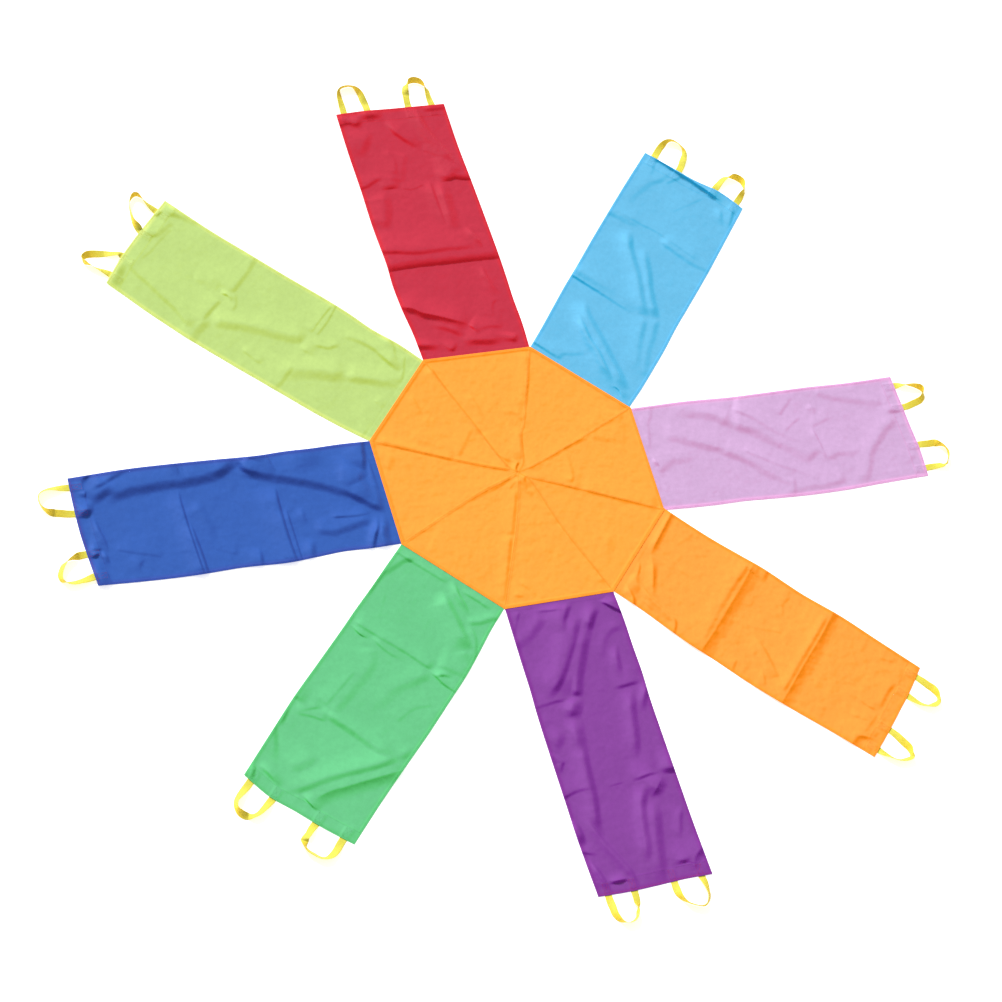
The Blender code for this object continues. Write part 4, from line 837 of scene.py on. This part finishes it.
def mesh_of(name, points, faces, uv=None, **measures):
    """A smooth mesh from points, four- or three-cornered faces and point measures."""
    mesh = bpy.data.meshes.new(name)
    faces = np.asarray(faces, np.int32)
    count, sides = faces.shape
    mesh.vertices.add(len(points))
    mesh.vertices.foreach_set("co", np.asarray(points, np.float32).ravel())
    mesh.loops.add(count * sides)
    mesh.loops.foreach_set("vertex_index", faces.ravel())
    mesh.polygons.add(count)
    mesh.polygons.foreach_set("loop_start", np.arange(0, count * sides, sides, dtype=np.int32))
    mesh.update(calc_edges=True)
    mesh.polygons.foreach_set("use_smooth", np.ones(count, bool))
    if uv is not None:
        layer = mesh.uv_layers.new(name="cloth")
        layer.data.foreach_set("uv", np.asarray(uv, np.float32)[faces.ravel()].ravel())
    for key, value in measures.items():
        mesh.attributes.new(key, "FLOAT", "POINT").data.foreach_set(
            "value", np.asarray(value, np.float32)
        )
    mesh.update()
    return mesh


def grid_faces(rows, columns, start=0):
    i, j = np.meshgrid(np.arange(rows - 1), np.arange(columns - 1), indexing="ij")
    a = start + i * columns + j
    return np.stack([a, a + 1, a + columns + 1, a + columns], -1).reshape(-1, 4)


def sheet_mesh(name, top, thickness, uv, **measures):
    """A closed sheet of cloth whose upper surface is the grid `top`."""
    rows, columns = top.shape[:2]
    count = rows * columns
    bottom = top.copy()
    bottom[..., 2] -= thickness
    upper = grid_faces(rows, columns)
    a, b, c = (top.reshape(-1, 3)[upper[len(upper) // 2, k]] for k in (0, 1, 3))
    if np.cross(b - a, c - a)[2] < 0:
        upper = upper[:, ::-1]
        turned = True
    else:
        turned = False
    lower = (grid_faces(rows, columns, count))
    if not turned:
        lower = lower[:, ::-1]
    ring = np.concatenate(
        [
            np.arange(columns),
            np.arange(1, rows) * columns + columns - 1,
            (rows - 1) * columns + np.arange(columns - 2, -1, -1),
            np.arange(rows - 2, 0, -1) * columns,
        ]
    )
    after = np.roll(ring, -1)
    wall = np.stack([ring, ring + count, after + count, after], 1)
    if turned:
        wall = wall[:, ::-1]
    points = np.concatenate([top.reshape(-1, 3), bottom.reshape(-1, 3)])
    both = {k: np.tile(np.asarray(v).ravel(), 2) for k, v in measures.items()}
    return mesh_of(
        name,
        points,
        np.concatenate([upper, lower, wall]),
        np.tile(uv.reshape(-1, 2), (2, 1)),
        **both,
    )


def normals_of(top):
    across, along = np.gradient(top, axis=1), np.gradient(top, axis=0)
    n = np.cross(across, along)
    n /= np.maximum(np.linalg.norm(n, axis=-1, keepdims=True), 1e-12)
    return np.where(n[..., 2:] < 0, -n, n)


def turned_away(top):
    """The share of the light that each place of a sheet loses by not lying flat."""
    return lost_light(normals_of(top))


def lost_light(n):
    lit = SKY * (0.5 + 0.5 * n[..., 2]) + (1 - SKY) * np.clip(n @ LIGHT, 0, None) / LIGHT[2]
    return np.clip(1 - lit, 0, 1)


class Surface:
    """Looks up points on a finished sheet from its own flat coordinates."""

    def __init__(self, top, row_at, column_at):
        self.top, self.normal = top, normals_of(top)
        self.row_at, self.column_at = row_at, column_at

    def __call__(self, row, column):
        r = np.interp(row, self.row_at, np.arange(len(self.row_at)))
        c = np.interp(column, self.column_at, np.arange(len(self.column_at)))
        i = np.clip(np.floor(r).astype(int), 0, len(self.row_at) - 2)
        j = np.clip(np.floor(c).astype(int), 0, len(self.column_at) - 2)
        a, b = (r - i)[:, None], (c - j)[:, None]

        def blend(grid):
            return (
                grid[i, j] * (1 - a) * (1 - b)
                + grid[i + 1, j] * a * (1 - b)
                + grid[i, j + 1] * (1 - a) * b
                + grid[i + 1, j + 1] * a * b
            )

        n = blend(self.normal)
        return blend(self.top), n / np.linalg.norm(n, axis=1)[:, None]


def stitches(points, normals, pitch=0.0034, length=0.0026, width=0.0009, lift=0.00035):
    """One row of stitches along points on a surface: each stitch is a small closed
    bead with tapered ends. Returns its points and triangles."""
    along = np.concatenate([[0], np.cumsum(np.linalg.norm(np.diff(points, axis=0), axis=1))])
    count = int(along[-1] / pitch)
    if count < 1:
        return np.zeros((0, 3)), np.zeros((0, 3), int)
    middle = (np.arange(count) + 0.5) * along[-1] / count

    def at(values, where):
        return np.stack([np.interp(where, along, values[:, k]) for k in range(3)], 1)

    a, b = at(points, middle - length / 2), at(points, middle + length / 2)
    n = at(normals, middle)
    n /= np.linalg.norm(n, axis=1)[:, None]
    way = b - a
    way /= np.maximum(np.linalg.norm(way, axis=1), 1e-9)[:, None]
    side = np.cross(n, way)
    rings = [a - n * 0.00015]
    for share in (0.22, 0.78):
        core = a * (1 - share) + b * share
        rings += [
            core + side * width / 2,
            core + n * lift,
            core - side * width / 2,
            core - n * 0.0002,
        ]
    rings.append(b - n * 0.00015)
    verts = np.stack(rings, 1)
    one = []
    for k in range(4):
        m = (k + 1) % 4
        one += [(0, 1 + k, 1 + m), (1 + k, 5 + k, 5 + m), (1 + k, 5 + m, 1 + m), (9, 5 + m, 5 + k)]
    one = np.array(one)
    faces = (np.arange(count)[:, None, None] * 10 + one).reshape(-1, 3)
    return verts.reshape(-1, 3), faces


def thread_object(name, rows, materials):
    """All the rows of one seam's thread as one piece; each row names its material."""
    points, faces, kinds, start = [], [], [], 0
    for (p, f), kind in rows:
        points.append(p)
        faces.append(f + start)
        kinds.append(np.full(len(f), kind))
        start += len(p)
    mesh = mesh_of(name, np.concatenate(points), np.concatenate(faces)[:, ::-1])
    for material in materials:
        mesh.materials.append(material)
    mesh.polygons.foreach_set("material_index", np.concatenate(kinds).astype(np.int32))
    made = bpy.data.objects.new(name, mesh)
    bpy.context.scene.collection.objects.link(made)
    return made


# ---------------------------------------------------------------- octagon
def seam_line(angle, n=200):
    """The radial seam from the apex to the corner, at n even steps."""
    points = [corner(angle), *map(np.array, SEAM_PATHS[angle]), APEX]
    return through(points[::-1], n)


SEAMS = {angle: seam_line(angle) for angle in SEAM_PATHS}
centre_wander, centre_broad, centre_fine = Noise(11), Noise(12), Noise(13)


def distance_to(line, place):
    flat = place.reshape(-1, 2)
    near = np.full(len(flat), 1e9)
    for a, b in zip(line[:-1], line[1:]):
        d = b - a
        t = np.clip((flat - a) @ d / max(d @ d, 1e-12), 0, 1)
        near = np.minimum(near, ((flat - a - t[:, None] * d) ** 2).sum(1))
    return np.sqrt(near).reshape(place.shape[:-1])


# Each radial seam by its angle: how high it stands, and how widely its double layer
# and painted shade show. Seams that run towards the light throw no shade, so theirs
# is painted wider.
SEAM_LOOK = {
    112.5: (1.0, 2.0),
    67.5: (0.40, 1.2),
    22.5: (0.40, 1.0),
    -22.5: (0.40, 1.2),
    -67.5: (0.8, 1.6),
    -112.5: (0.40, 1.1),
    -157.5: (0.30, 0.7),
    157.5: (0.55, 1.6),
}


def centre_height(place):
    """How far the octagon's cloth is off the ground at each place."""
    x, y = place[..., 0], place[..., 1]
    h = 0.0008 + 0.0006 * centre_broad(x / 0.13 + 3, y / 0.13 + 5)
    h += 0.0003 * creased(centre_fine, x / 0.045, y / 0.045)
    h += 1.5 * crinkled(centre_fine, x, y)
    for fold in CENTRE_FOLDS:
        h += fold_height(fold, place, SUN, 0.001)
    r = np.linalg.norm(place - APEX, axis=-1)
    for angle, line in SEAMS.items():
        d = distance_to(line[::8], place)
        size = 0.0007 * smoothstep(r / 0.05) * (1 + 0.4 * centre_wander(r / 0.06, angle))
        size = size * SEAM_LOOK[angle][0]
        h += size * np.exp(-((d / 0.0060) ** 2))
    turn = np.arctan2(y - APEX[1], x - APEX[0])
    h += 0.0006 * np.exp(-((r / 0.014) ** 2)) * (1 + 0.35 * np.sin(3 * turn + r / 0.006))
    return above_ground(h)


def rim_point(colour, share):
    """Points on the seam between a strip and the octagon, by share from its left."""
    a = STRIPS[colour]
    left, right = corner(wrap(a + 22.5)), corner(wrap(a - 22.5))
    share = np.asarray(share)[..., None]
    return left * (1 - share) + right * share


def wrap(angle):
    while angle > 180:
        angle -= 360
    while angle <= -180:
        angle += 360
    return angle


def spaced(segments):
    """Grid lines: (to, step) pairs, each run cut into steps of about that size."""
    at = [0.0]
    for end, step in segments:
        n = max(1, round((end - at[-1]) / step))
        at += list(np.linspace(at[-1], end, n + 1)[1:])
    return np.array(at)


# 0.42: how strongly the seams' double layer and painted shade show
centre_cloth = cloth_material("centre_cloth", *CENTRE, 0.28, 0.42)
centre_thread = thread_material("centre_thread", (1.115, 0.650, 0.215))


def bend_centre(piece):
    """Bakes a piece of the half that folds into its world place, on no body."""
    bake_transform(piece)


for colour in ORDER:
    bearing = STRIPS[colour]
    left, right = SEAMS[wrap(bearing + 22.5)], SEAMS[wrap(bearing - 22.5)]
    length = CORNER_R
    row_at = spaced([(length - 0.020, 0.0042), (length - 0.008, 0.0015), (length, 0.0010)])
    row_at[0] = 0.0006
    row_at /= length
    column_at = spaced([(0.012, 0.0015), (0.388, 0.0046), (0.400, 0.0015)]) / 0.400
    t = row_at * 199
    edge_left = np.stack([np.interp(t, np.arange(200), left[:, k]) for k in (0, 1)], 1)
    edge_right = np.stack([np.interp(t, np.arange(200), right[:, k]) for k in (0, 1)], 1)
    share = column_at[None, :, None]
    flat = edge_left[:, None] * (1 - share) + edge_right[:, None] * share
    h = centre_height(flat)
    to_rim = distance_to(np.array([left[-1], right[-1]]), flat)
    to_left, to_right = distance_to(left[::8], flat), distance_to(right[::8], flat)
    # the rim is turned under over the strip, and the allowance lies on this gore
    layers = 0.0004 * (1 - smoothstep((to_rim - 0.0080) / 0.0060))
    layers += 0.0004 * (1 - smoothstep((to_right - 0.0050) / 0.0050))
    layers += 0.0004 * (1 - smoothstep(to_left / 0.0045))
    over = 0.0012 * (1 - smoothstep((to_rim - 0.008) / 0.010))
    edge_round = 0.0003 * (1 - smoothstep(to_rim / 0.0012))
    top = where_it_stands(flat, h + over + CLOTH + layers - edge_round)
    thick = CLOTH + layers - 0.5 * edge_round
    o, p = axes(colour)
    uv = np.stack([flat @ p, flat @ o], -1)
    mesh = sheet_mesh(
        f"centre_gore_cloth_{colour}",
        top,
        thick,
        uv,
        rim=to_rim,
        seam=np.minimum(
            to_left / SEAM_LOOK[wrap(bearing + 22.5)][1],
            to_right / SEAM_LOOK[wrap(bearing - 22.5)][1],
        ),
        # away: the light each place loses, which the material paints as shade
        away=turned_away(top),
    )
    gore = new_object(f"centre_gore_cloth_{colour}", mesh, centre_cloth)
    surface = Surface(top, row_at, column_at)

    # two rows along the rim, and two along the felled seam
    rim_rows = []
    for inset in (0.0032, 0.0088):
        s = np.linspace(0.022, 0.978, 240)
        row = np.full_like(s, 1 - inset / INNER_R)
        rim_rows.append((stitches(*surface(row, s)), 0))
    seam_rows = []
    for inset in (0.0018, 0.0062):
        r = np.linspace(0.06, 0.955, 240)
        column = 1 - inset / np.maximum(SIDE * r, 0.02)
        seam_rows.append((stitches(*surface(r, column)), 0))
    rim_thread = thread_object(f"rim_thread_{colour}", rim_rows, [centre_thread])
    seam_thread = thread_object(f"seam_thread_{colour}", seam_rows, [centre_thread])
    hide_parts(f"centre_gore_by_{colour}")
    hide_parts(f"rim_seam_stitching_{colour}")
    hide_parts(f"radial_seam_stitching_{colour}")
    for piece in (gore, rim_thread, seam_thread):
        if colour in FOLDING:
            bend_centre(piece)
        else:
            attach(piece, "octagon_left_half")

# ---------------------------------------------------------------- strips
SIDE_HEM, END_HEM = 0.008, 0.048
LEG_UNDER = 0.042  # the webbing goes this far into the end hem
TAPE, TAPE_T = 0.025, 0.0014


def edge_at(table, colour, v):
    """A smooth edge through the measured half widths."""
    line = through(list(zip(V_AT, np.array(table[colour]) / 1000)), 400)
    return np.interp(v, line[:, 0], line[:, 1])


def end_at(colour, share):
    line = through(list(zip(np.linspace(0, 1, 5), np.array(END_EDGE[colour]) / 1000)), 200)
    return STRIP_LENGTH + np.interp(share, line[:, 0], line[:, 1])


class Strip:
    """One strip as it lies: its flat outline, height and finished surface."""

    def __init__(self, colour):
        self.colour = colour
        self.o, self.p = axes(colour)
        seed = 100 + 10 * ORDER.index(colour)
        self.wander, self.broad, self.fine, self.ripple = (
            Noise(seed + k) for k in range(4)
        )
        self.light = np.array([-(SUN @ self.p), SUN @ self.o])
        self.column_at = (
            spaced(
                [
                    (0.0016, 0.0008),
                    (0.0064, 0.0024),
                    (0.0096, 0.0011),
                    (0.398, 0.0037),
                    (0.4012, 0.0011),
                    (0.4064, 0.0024),
                    (0.408, 0.0008),
                ]
            )
            / 0.408
        )
        self.row_at = (
            spaced(
                [
                    (0.016, 0.0016),
                    (0.060, 0.0030),
                    (0.340, 0.0042),
                    (0.430, 0.0026),
                    (0.650, 0.0042),
                    (0.740, 0.0026),
                    (0.978, 0.0042),
                    (0.986, 0.0011),
                    (1.026, 0.0030),
                    (1.030, 0.0008),
                ]
            )
            / STRIP_LENGTH
        )

    def legs(self):
        """Where the webbing's legs leave the hem, to the left of the axis."""
        return [
            foot[0] / 1000 for loop in LOOPS[self.colour] for foot in (loop[0], loop[-1])
        ]

    def outline(self, row, column):
        """Where a flat coordinate lies on the ground."""
        seam = rim_point(self.colour, column)
        v_in = seam @ self.o - INNER_R - 0.0055
        v_out = end_at(self.colour, column)
        v = v_in * (1 - row) + v_out * row
        left = edge_at(LEFT_EDGE, self.colour, v)
        right = edge_at(RIGHT_EDGE, self.colour, v)
        s = left * (1 - column) - right * column
        return (
            (INNER_R + v)[..., None] * self.o + s[..., None] * self.p,
            v,
            s,
            left,
            right,
            v_out,
        )

    def build(self):
        row, column = np.meshgrid(self.row_at, self.column_at, indexing="ij")
        flat, v, s, left, right, v_out = self.outline(row, column)
        u_t, v_t = column * U_SPAN, row * STRIP_LENGTH
        place = np.stack([u_t, v_t], -1)
        h = 0.0010 + 0.0007 * self.broad(u_t / 0.12 + 2, v_t / 0.15 + 2)
        h += 0.0003 * self.ripple(u_t / 0.055 + 9, v_t / 0.07)
        h += 0.0003 * creased(self.fine, u_t / 0.034, v_t / 0.040)
        h += CRINKLED.get(self.colour, 1.0) * crinkled(self.broad, u_t, v_t)
        unit = (U_SPAN / 100, STRIP_LENGTH / 100)
        folds = sum(
            fold_height(fold, place, self.light, unit) for fold in FOLDS[self.colour]
        )
        # where folds run into one another they don't stand on top of each other
        over = np.clip(folds - 0.016, 0, None)
        h += folds - over + 0.006 * (1 - np.exp(-over / 0.006))
        # gathers where it is sewn on, and small puckers at the end hem
        gather = self.ripple(u_t / 0.016 + 31, v_t / 0.11 + 3)
        h += 0.0007 * np.clip(gather, 0, 1) * np.exp(-((v / 0.055) ** 2))
        pucker = self.fine(u_t / 0.020 + 17, v_t / 0.09)
        h += 0.0005 * pucker * np.exp(-(((v_out - END_HEM - v) / 0.030) ** 2))
        side = np.minimum(s + right, left - s)
        nick = self.ripple(np.where(s > 0, 40.0, 50.0), v_t / 0.022)
        h += 0.0006 * nick * np.exp(-((side / 0.016) ** 2))
        h = above_ground(h)
        # it lies quietly under the rim
        rim = centre_height(rim_point(self.colour, column))
        calm = smoothstep((v - 0.004) / 0.030)
        h = rim * (1 - calm) + h * calm
        # webbing inside the end hem
        for leg in self.legs():
            box = smoothstep((TAPE / 2 + 0.006 - np.abs(s - leg)) / 0.007)
            box = box * smoothstep((v - (v_out - LEG_UNDER - 0.006)) / 0.008)
            h = h + TAPE_T * box
        self.height = h
        hem = np.maximum(
            1 - smoothstep((side - SIDE_HEM) / 0.0024),
            1 - smoothstep((v_out - v - END_HEM + 0.002) / 0.0080),
        )
        allowance = 1 - smoothstep((v - 0.0125) / 0.0030)
        layers = 0.0005 * np.maximum(hem, allowance)
        free = np.minimum(side, v_out - v)
        rounding = 0.0004 * (1 - smoothstep(free / 0.0014))
        top = where_it_stands(flat, h + CLOTH + layers - rounding)
        uv = np.stack([s, v], -1)
        self.top, self.v_out = top, v_out
        mesh = sheet_mesh(
            f"{self.colour}_strip_cloth",
            top,
            CLOTH + layers - 0.5 * rounding,
            uv,
            rim=free,
            seam=np.minimum(
                np.abs(side - SIDE_HEM), np.abs(v_out - v - END_HEM)
            ),
            # away: the light each place loses, which the material paints as shade
            away=turned_away(top),
        )
        self.surface = Surface(top, self.row_at, self.column_at)
        return mesh

    def at(self, v, s):
        """Surface coordinates (row, column) of places given by v and s."""
        v, s = np.broadcast_arrays(np.asarray(v, float), np.asarray(s, float))
        left = edge_at(LEFT_EDGE, self.colour, v)
        right = edge_at(RIGHT_EDGE, self.colour, v)
        column = (left - s) / (left + right)
        seam = rim_point(self.colour, column)
        v_in = seam @ self.o - INNER_R - 0.0055
        row = (v - v_in) / (end_at(self.colour, column) - v_in)
        return row, column

    def on(self, v, s):
        return self.surface(*self.at(v, s))

    def hem_rows(self):
        """Both side hems, two rows across the end hem, and a crossed box of stitches
        on each end of the webbing."""
        rows = []
        v = np.linspace(0.018, 0.99, 500)
        left, right = edge_at(LEFT_EDGE, self.colour, v), edge_at(RIGHT_EDGE, self.colour, v)
        for s in (left - 0.0062, 0.0062 - right):
            rows.append((stitches(*self.on(v, s)), 0))
        c = np.linspace(0.014, 0.986, 300)
        width = self.top[-1, :, :2]
        for inset, kind in ((0.0450, 0), (0.0055, 1)):
            out = end_at(self.colour, c) - inset
            lw, rw = edge_at(LEFT_EDGE, self.colour, out), edge_at(RIGHT_EDGE, self.colour, out)
            thread = stitches(*self.on(out, lw * (1 - c) - rw * c), width=(0.0009, 0.0014)[kind])
            rows.append((thread, kind))
        for leg in self.legs():
            column = self.at(STRIP_LENGTH, leg)[1]
            far = float(end_at(self.colour, column)) - 0.0085
            near = far - 0.032
            a, b = leg - 0.0095, leg + 0.0095
            path = [(near, a), (far, a), (far, b), (near, b), (near, a), (far, b)]
            path += [(far, a), (near, b)]
            for (v0, s0), (v1, s1) in zip(path, path[1:]):
                t = np.linspace(0, 1, 16)
                rows.append((stitches(*self.on(v0 + (v1 - v0) * t, s0 + (s1 - s0) * t)), 1))
        return rows


def ribbon(name, line, out, tilt, low, along):
    """Webbing along a line on the ground: `out` is the level direction of its outer
    edge, which lifts by the tilt, and `low` the height of its lower edge."""
    n = len(line)
    rise, level = np.sin(tilt)[:, None], np.cos(tilt)[:, None]
    across = out * level
    across = np.concatenate([across, rise], 1)
    up = np.concatenate([-out * rise, level], 1)
    middle = np.concatenate([line, (low + TAPE / 2 * abs(rise[:, 0]))[:, None]], 1)
    # the section: round selvedges, and a face a little thicker along its middle
    half, t = TAPE / 2, TAPE_T / 2
    section = [
        (-half, 0.0),
        (-half + 0.0005, 0.75 * t),
        (-half + 0.0016, 0.95 * t),
        (-half / 2, t),
        (0.0, t),
        (half / 2, t),
        (half - 0.0016, 0.95 * t),
        (half - 0.0005, 0.75 * t),
        (half, 0.0),
        (half - 0.0005, -0.75 * t),
        (half - 0.0016, -0.95 * t),
        (half / 2, -t),
        (0.0, -t),
        (-half / 2, -t),
        (-half + 0.0016, -0.95 * t),
        (-half + 0.0005, -0.75 * t),
    ]
    m = len(section)
    points = np.stack([middle + across * a + up * b for a, b in section], 1)
    i, j = np.meshgrid(np.arange(n - 1), np.arange(m), indexing="ij")
    k = (j + 1) % m
    faces = np.stack([i * m + j, i * m + k, (i + 1) * m + k, (i + 1) * m + j], -1)
    faces = faces.reshape(-1, 4)
    caps = []
    for start, flip in ((0, False), ((n - 1) * m, True)):
        for a in range(m // 2 - 1):
            quad = [start + a, start + a + 1, start + m - a - 1, start + (m - a) % m]
            caps.append(quad if flip else quad[::-1])
    faces = np.concatenate([faces, np.array(caps)])
    uv = np.stack(
        [
            np.tile([a for a, _ in section], n),
            np.repeat(along, m),
        ],
        1,
    )
    rim = np.tile([half - abs(a) for a, _ in section], n)
    # each face's lost light, which the webbing's material paints as shade
    faced = np.stack([up * np.sign(b) + across * (b == 0) * np.sign(a) for a, b in section], 1)
    away = lost_light(faced.reshape(-1, 3))
    flat = points.reshape(-1, 3)
    # outward faces
    f = faces[(n // 2) * m + 4]
    e1, e2 = flat[f[1]] - flat[f[0]], flat[f[3]] - flat[f[0]]
    if np.cross(e1, e2) @ up[n // 2] < 0:
        faces = faces[:, ::-1]
    return mesh_of(name, flat, faces, uv, rim=rim, away=away)


def loop_mesh(strip, side, name):
    """A loop's webbing, from inside the hem round its bow and back into the hem."""
    seen = LOOPS[strip.colour][side]
    feet, hems = [], []
    for s in (seen[0][0], seen[-1][0]):
        column = strip.at(STRIP_LENGTH, s / 1000)[1]
        hem = (float(end_at(strip.colour, column)) - STRIP_LENGTH) * 1000
        hems.append(hem)
        feet.append([(s, hem - LEG_UNDER * 1000 * share, 0) for share in (1, 0.5, 0)])
    clear = max(hems) + 10
    path = through(
        [*feet[0], *(point for point in seen[1:-1] if point[1] > clear), *feet[1][::-1]], 170
    )
    line, tilt = path[:, 1::-1] / 1000, np.radians(path[:, 2])
    along = np.concatenate([[0], np.cumsum(np.linalg.norm(np.diff(line, axis=0), axis=1))])
    d = np.minimum(along, along[-1] - along) - LEG_UNDER
    tilt = tilt * smoothstep((d + 0.001) / 0.012)
    # the outer side of the curve
    tangent = np.gradient(line, axis=0)
    tangent /= np.linalg.norm(tangent, axis=1)[:, None]
    out = np.stack([-tangent[:, 1], tangent[:, 0]], 1)
    if out[len(line) // 2][0] < 0:
        out = -out
    # inside the hem it follows the underside of the cloth, and it settles beyond
    v = STRIP_LENGTH + line[:, 0]
    heights = []
    for share in (-1, -0.5, 0, 0.5, 1):
        place = line + out * share * TAPE / 2
        row, column = strip.at(STRIP_LENGTH + place[:, 0], place[:, 1])
        row = np.clip(row, 0, 1)
        heights.append(strip.surface(row, np.clip(column, 0, 1))[0][:, 2])
    heights = np.array(heights)
    slope = np.clip((heights[-1] - heights[0]) / TAPE, -0.5, 0.5)
    plane = heights[2] + np.outer((-0.5, -0.25, 0, 0.25, 0.5), slope * TAPE)
    under = heights[2] + np.minimum((heights - plane).min(0), 0)
    under -= CLOTH + 0.0006 + TAPE_T / 2 + 0.0007
    within = 1 - smoothstep((d - 0.001) / 0.028)
    room = np.clip(under - TAPE_T / 2 - 0.0002, 0, None) / (TAPE / 2)
    slope = np.clip(slope, -room, room)
    tilt = tilt + np.arcsin(slope) * within
    low = under - TAPE / 2 * abs(slope)
    rest = TAPE_T / 2 + 0.0002 + 0.0010 * smoothstep((d + 0.004) / 0.01) * (1 - smoothstep(d / 0.05))
    low = np.maximum(low, TAPE_T / 2 + 0.0002) * within + rest * (1 - within)
    seen = np.outer(INNER_R + STRIP_LENGTH + line[:, 0], strip.o) + np.outer(line[:, 1], strip.p)
    world = where_it_stands(seen, low + TAPE / 2 * abs(np.sin(tilt)))[:, :2]
    spread = np.outer(out[:, 0], strip.o) + np.outer(out[:, 1], strip.p)
    return ribbon(name, world, spread, tilt, low, along)


webbing = webbing_material("yellow_webbing", WEBBING)
for colour in ORDER:
    strip = Strip(colour)
    depth = 0.28 if colour == "orange" else 0.60
    cloth = cloth_material(f"{colour}_cloth_look", *CLOTHS[colour], depth)
    piece = new_object(f"{colour}_strip_cloth", strip.build(), cloth)
    own, catch = (
        thread_material(f"{colour}_{word}_thread", shade)
        for word, shade in zip(("hem", "catch"), THREADS[colour])
    )
    hem = thread_object(f"{colour}_hem_thread", strip.hem_rows(), [own, catch])
    for thing in (piece, hem):
        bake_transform(thing)
    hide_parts(f"{colour}_strip")
    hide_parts(f"{colour}_hem_stitching")
    for n, side in enumerate(("left", "right")):
        name = f"{colour}_loop_{side}"
        loop = new_object(name, loop_mesh(strip, n, name), webbing)
        middle = (LOOPS[colour][n][0][0] + LOOPS[colour][n][-1][0]) / 2000
        column = strip.at(STRIP_LENGTH, middle)[1]
        start = max(float(end_at(colour, column)), STRIP_LENGTH - 0.002)
        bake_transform(loop)
        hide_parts(f"{colour}_webbing_handle_{side}")

# ---------------------------------------------------------------- surroundings
ground = bpy.data.meshes.new("floor")
ring = [(40 * math.cos(a), 40 * math.sin(a), -0.0004) for a in np.linspace(0, 2 * math.pi, 64, endpoint=False)]
ground.from_pydata(ring, [], [list(range(64))])
floor_look = Graph("floor_paper")
spot = floor_look.node("ShaderNodeNewGeometry").outputs["Position"]
tone = floor_look.band(floor_look.noise(spot, 3.0, 2.0), 0.2, 0.8)
floor_look.link(
    floor_look.mix(tone, (0.90, 0.90, 0.90, 1.0), (0.93, 0.93, 0.93, 1.0)),
    floor_look.shader.inputs["Base Color"],
)
floor_look.shader.inputs["Roughness"].default_value = 0.9
floor_look.shader.inputs["Specular IOR Level"].default_value = 0.1
floor_look.shader.inputs["Emission Color"].default_value = (1.0, 1.0, 1.0, 1.0)
floor_look.shader.inputs["Emission Strength"].default_value = 0.56
floor = new_object("floor", ground, floor_look.material)

world = bpy.data.worlds.new("studio")
world.use_nodes = True
world.node_tree.nodes["Background"].inputs["Color"].default_value = (1.0, 1.0, 1.0, 1.0)
world.node_tree.nodes["Background"].inputs["Strength"].default_value = SKY * LEVEL
bpy.context.scene.world = world

lamp = bpy.data.lights.new("softbox", "SUN")
lamp.energy = (1 - SKY) * LEVEL * math.pi / math.sin(SUN_RISE)
lamp.angle = math.radians(16)
sun = bpy.data.objects.new("softbox", lamp)
side = np.cross([0, 0, 1], LIGHT)
side /= np.linalg.norm(side)
up = np.cross(LIGHT, side)
turned = Matrix.Identity(4)
for k, axis in enumerate((side, up, LIGHT)):
    for r in range(3):
        turned[r][k] = axis[r]
sun.matrix_world = turned
bpy.context.scene.collection.objects.link(sun)

lens = bpy.data.cameras.new("camera")
lens.lens = 119.30
lens.sensor_width = 36.0
lens.clip_end = 200.0
camera = bpy.data.objects.new("camera", lens)
camera.matrix_world = Matrix(
    (
        (0.915852, 0.122747, -0.382293, CAMERA_AT[0]),
        (-0.287566, 0.865007, -0.411180, CAMERA_AT[1]),
        (0.280215, 0.486515, 0.827516, CAMERA_AT[2]),
        (0.0, 0.0, 0.0, 1.0),
    )
)
bpy.context.scene.collection.objects.link(camera)
bpy.context.scene.camera = camera
bpy.context.scene.view_settings.view_transform = "Standard"
bpy.context.scene.view_settings.look = "None"
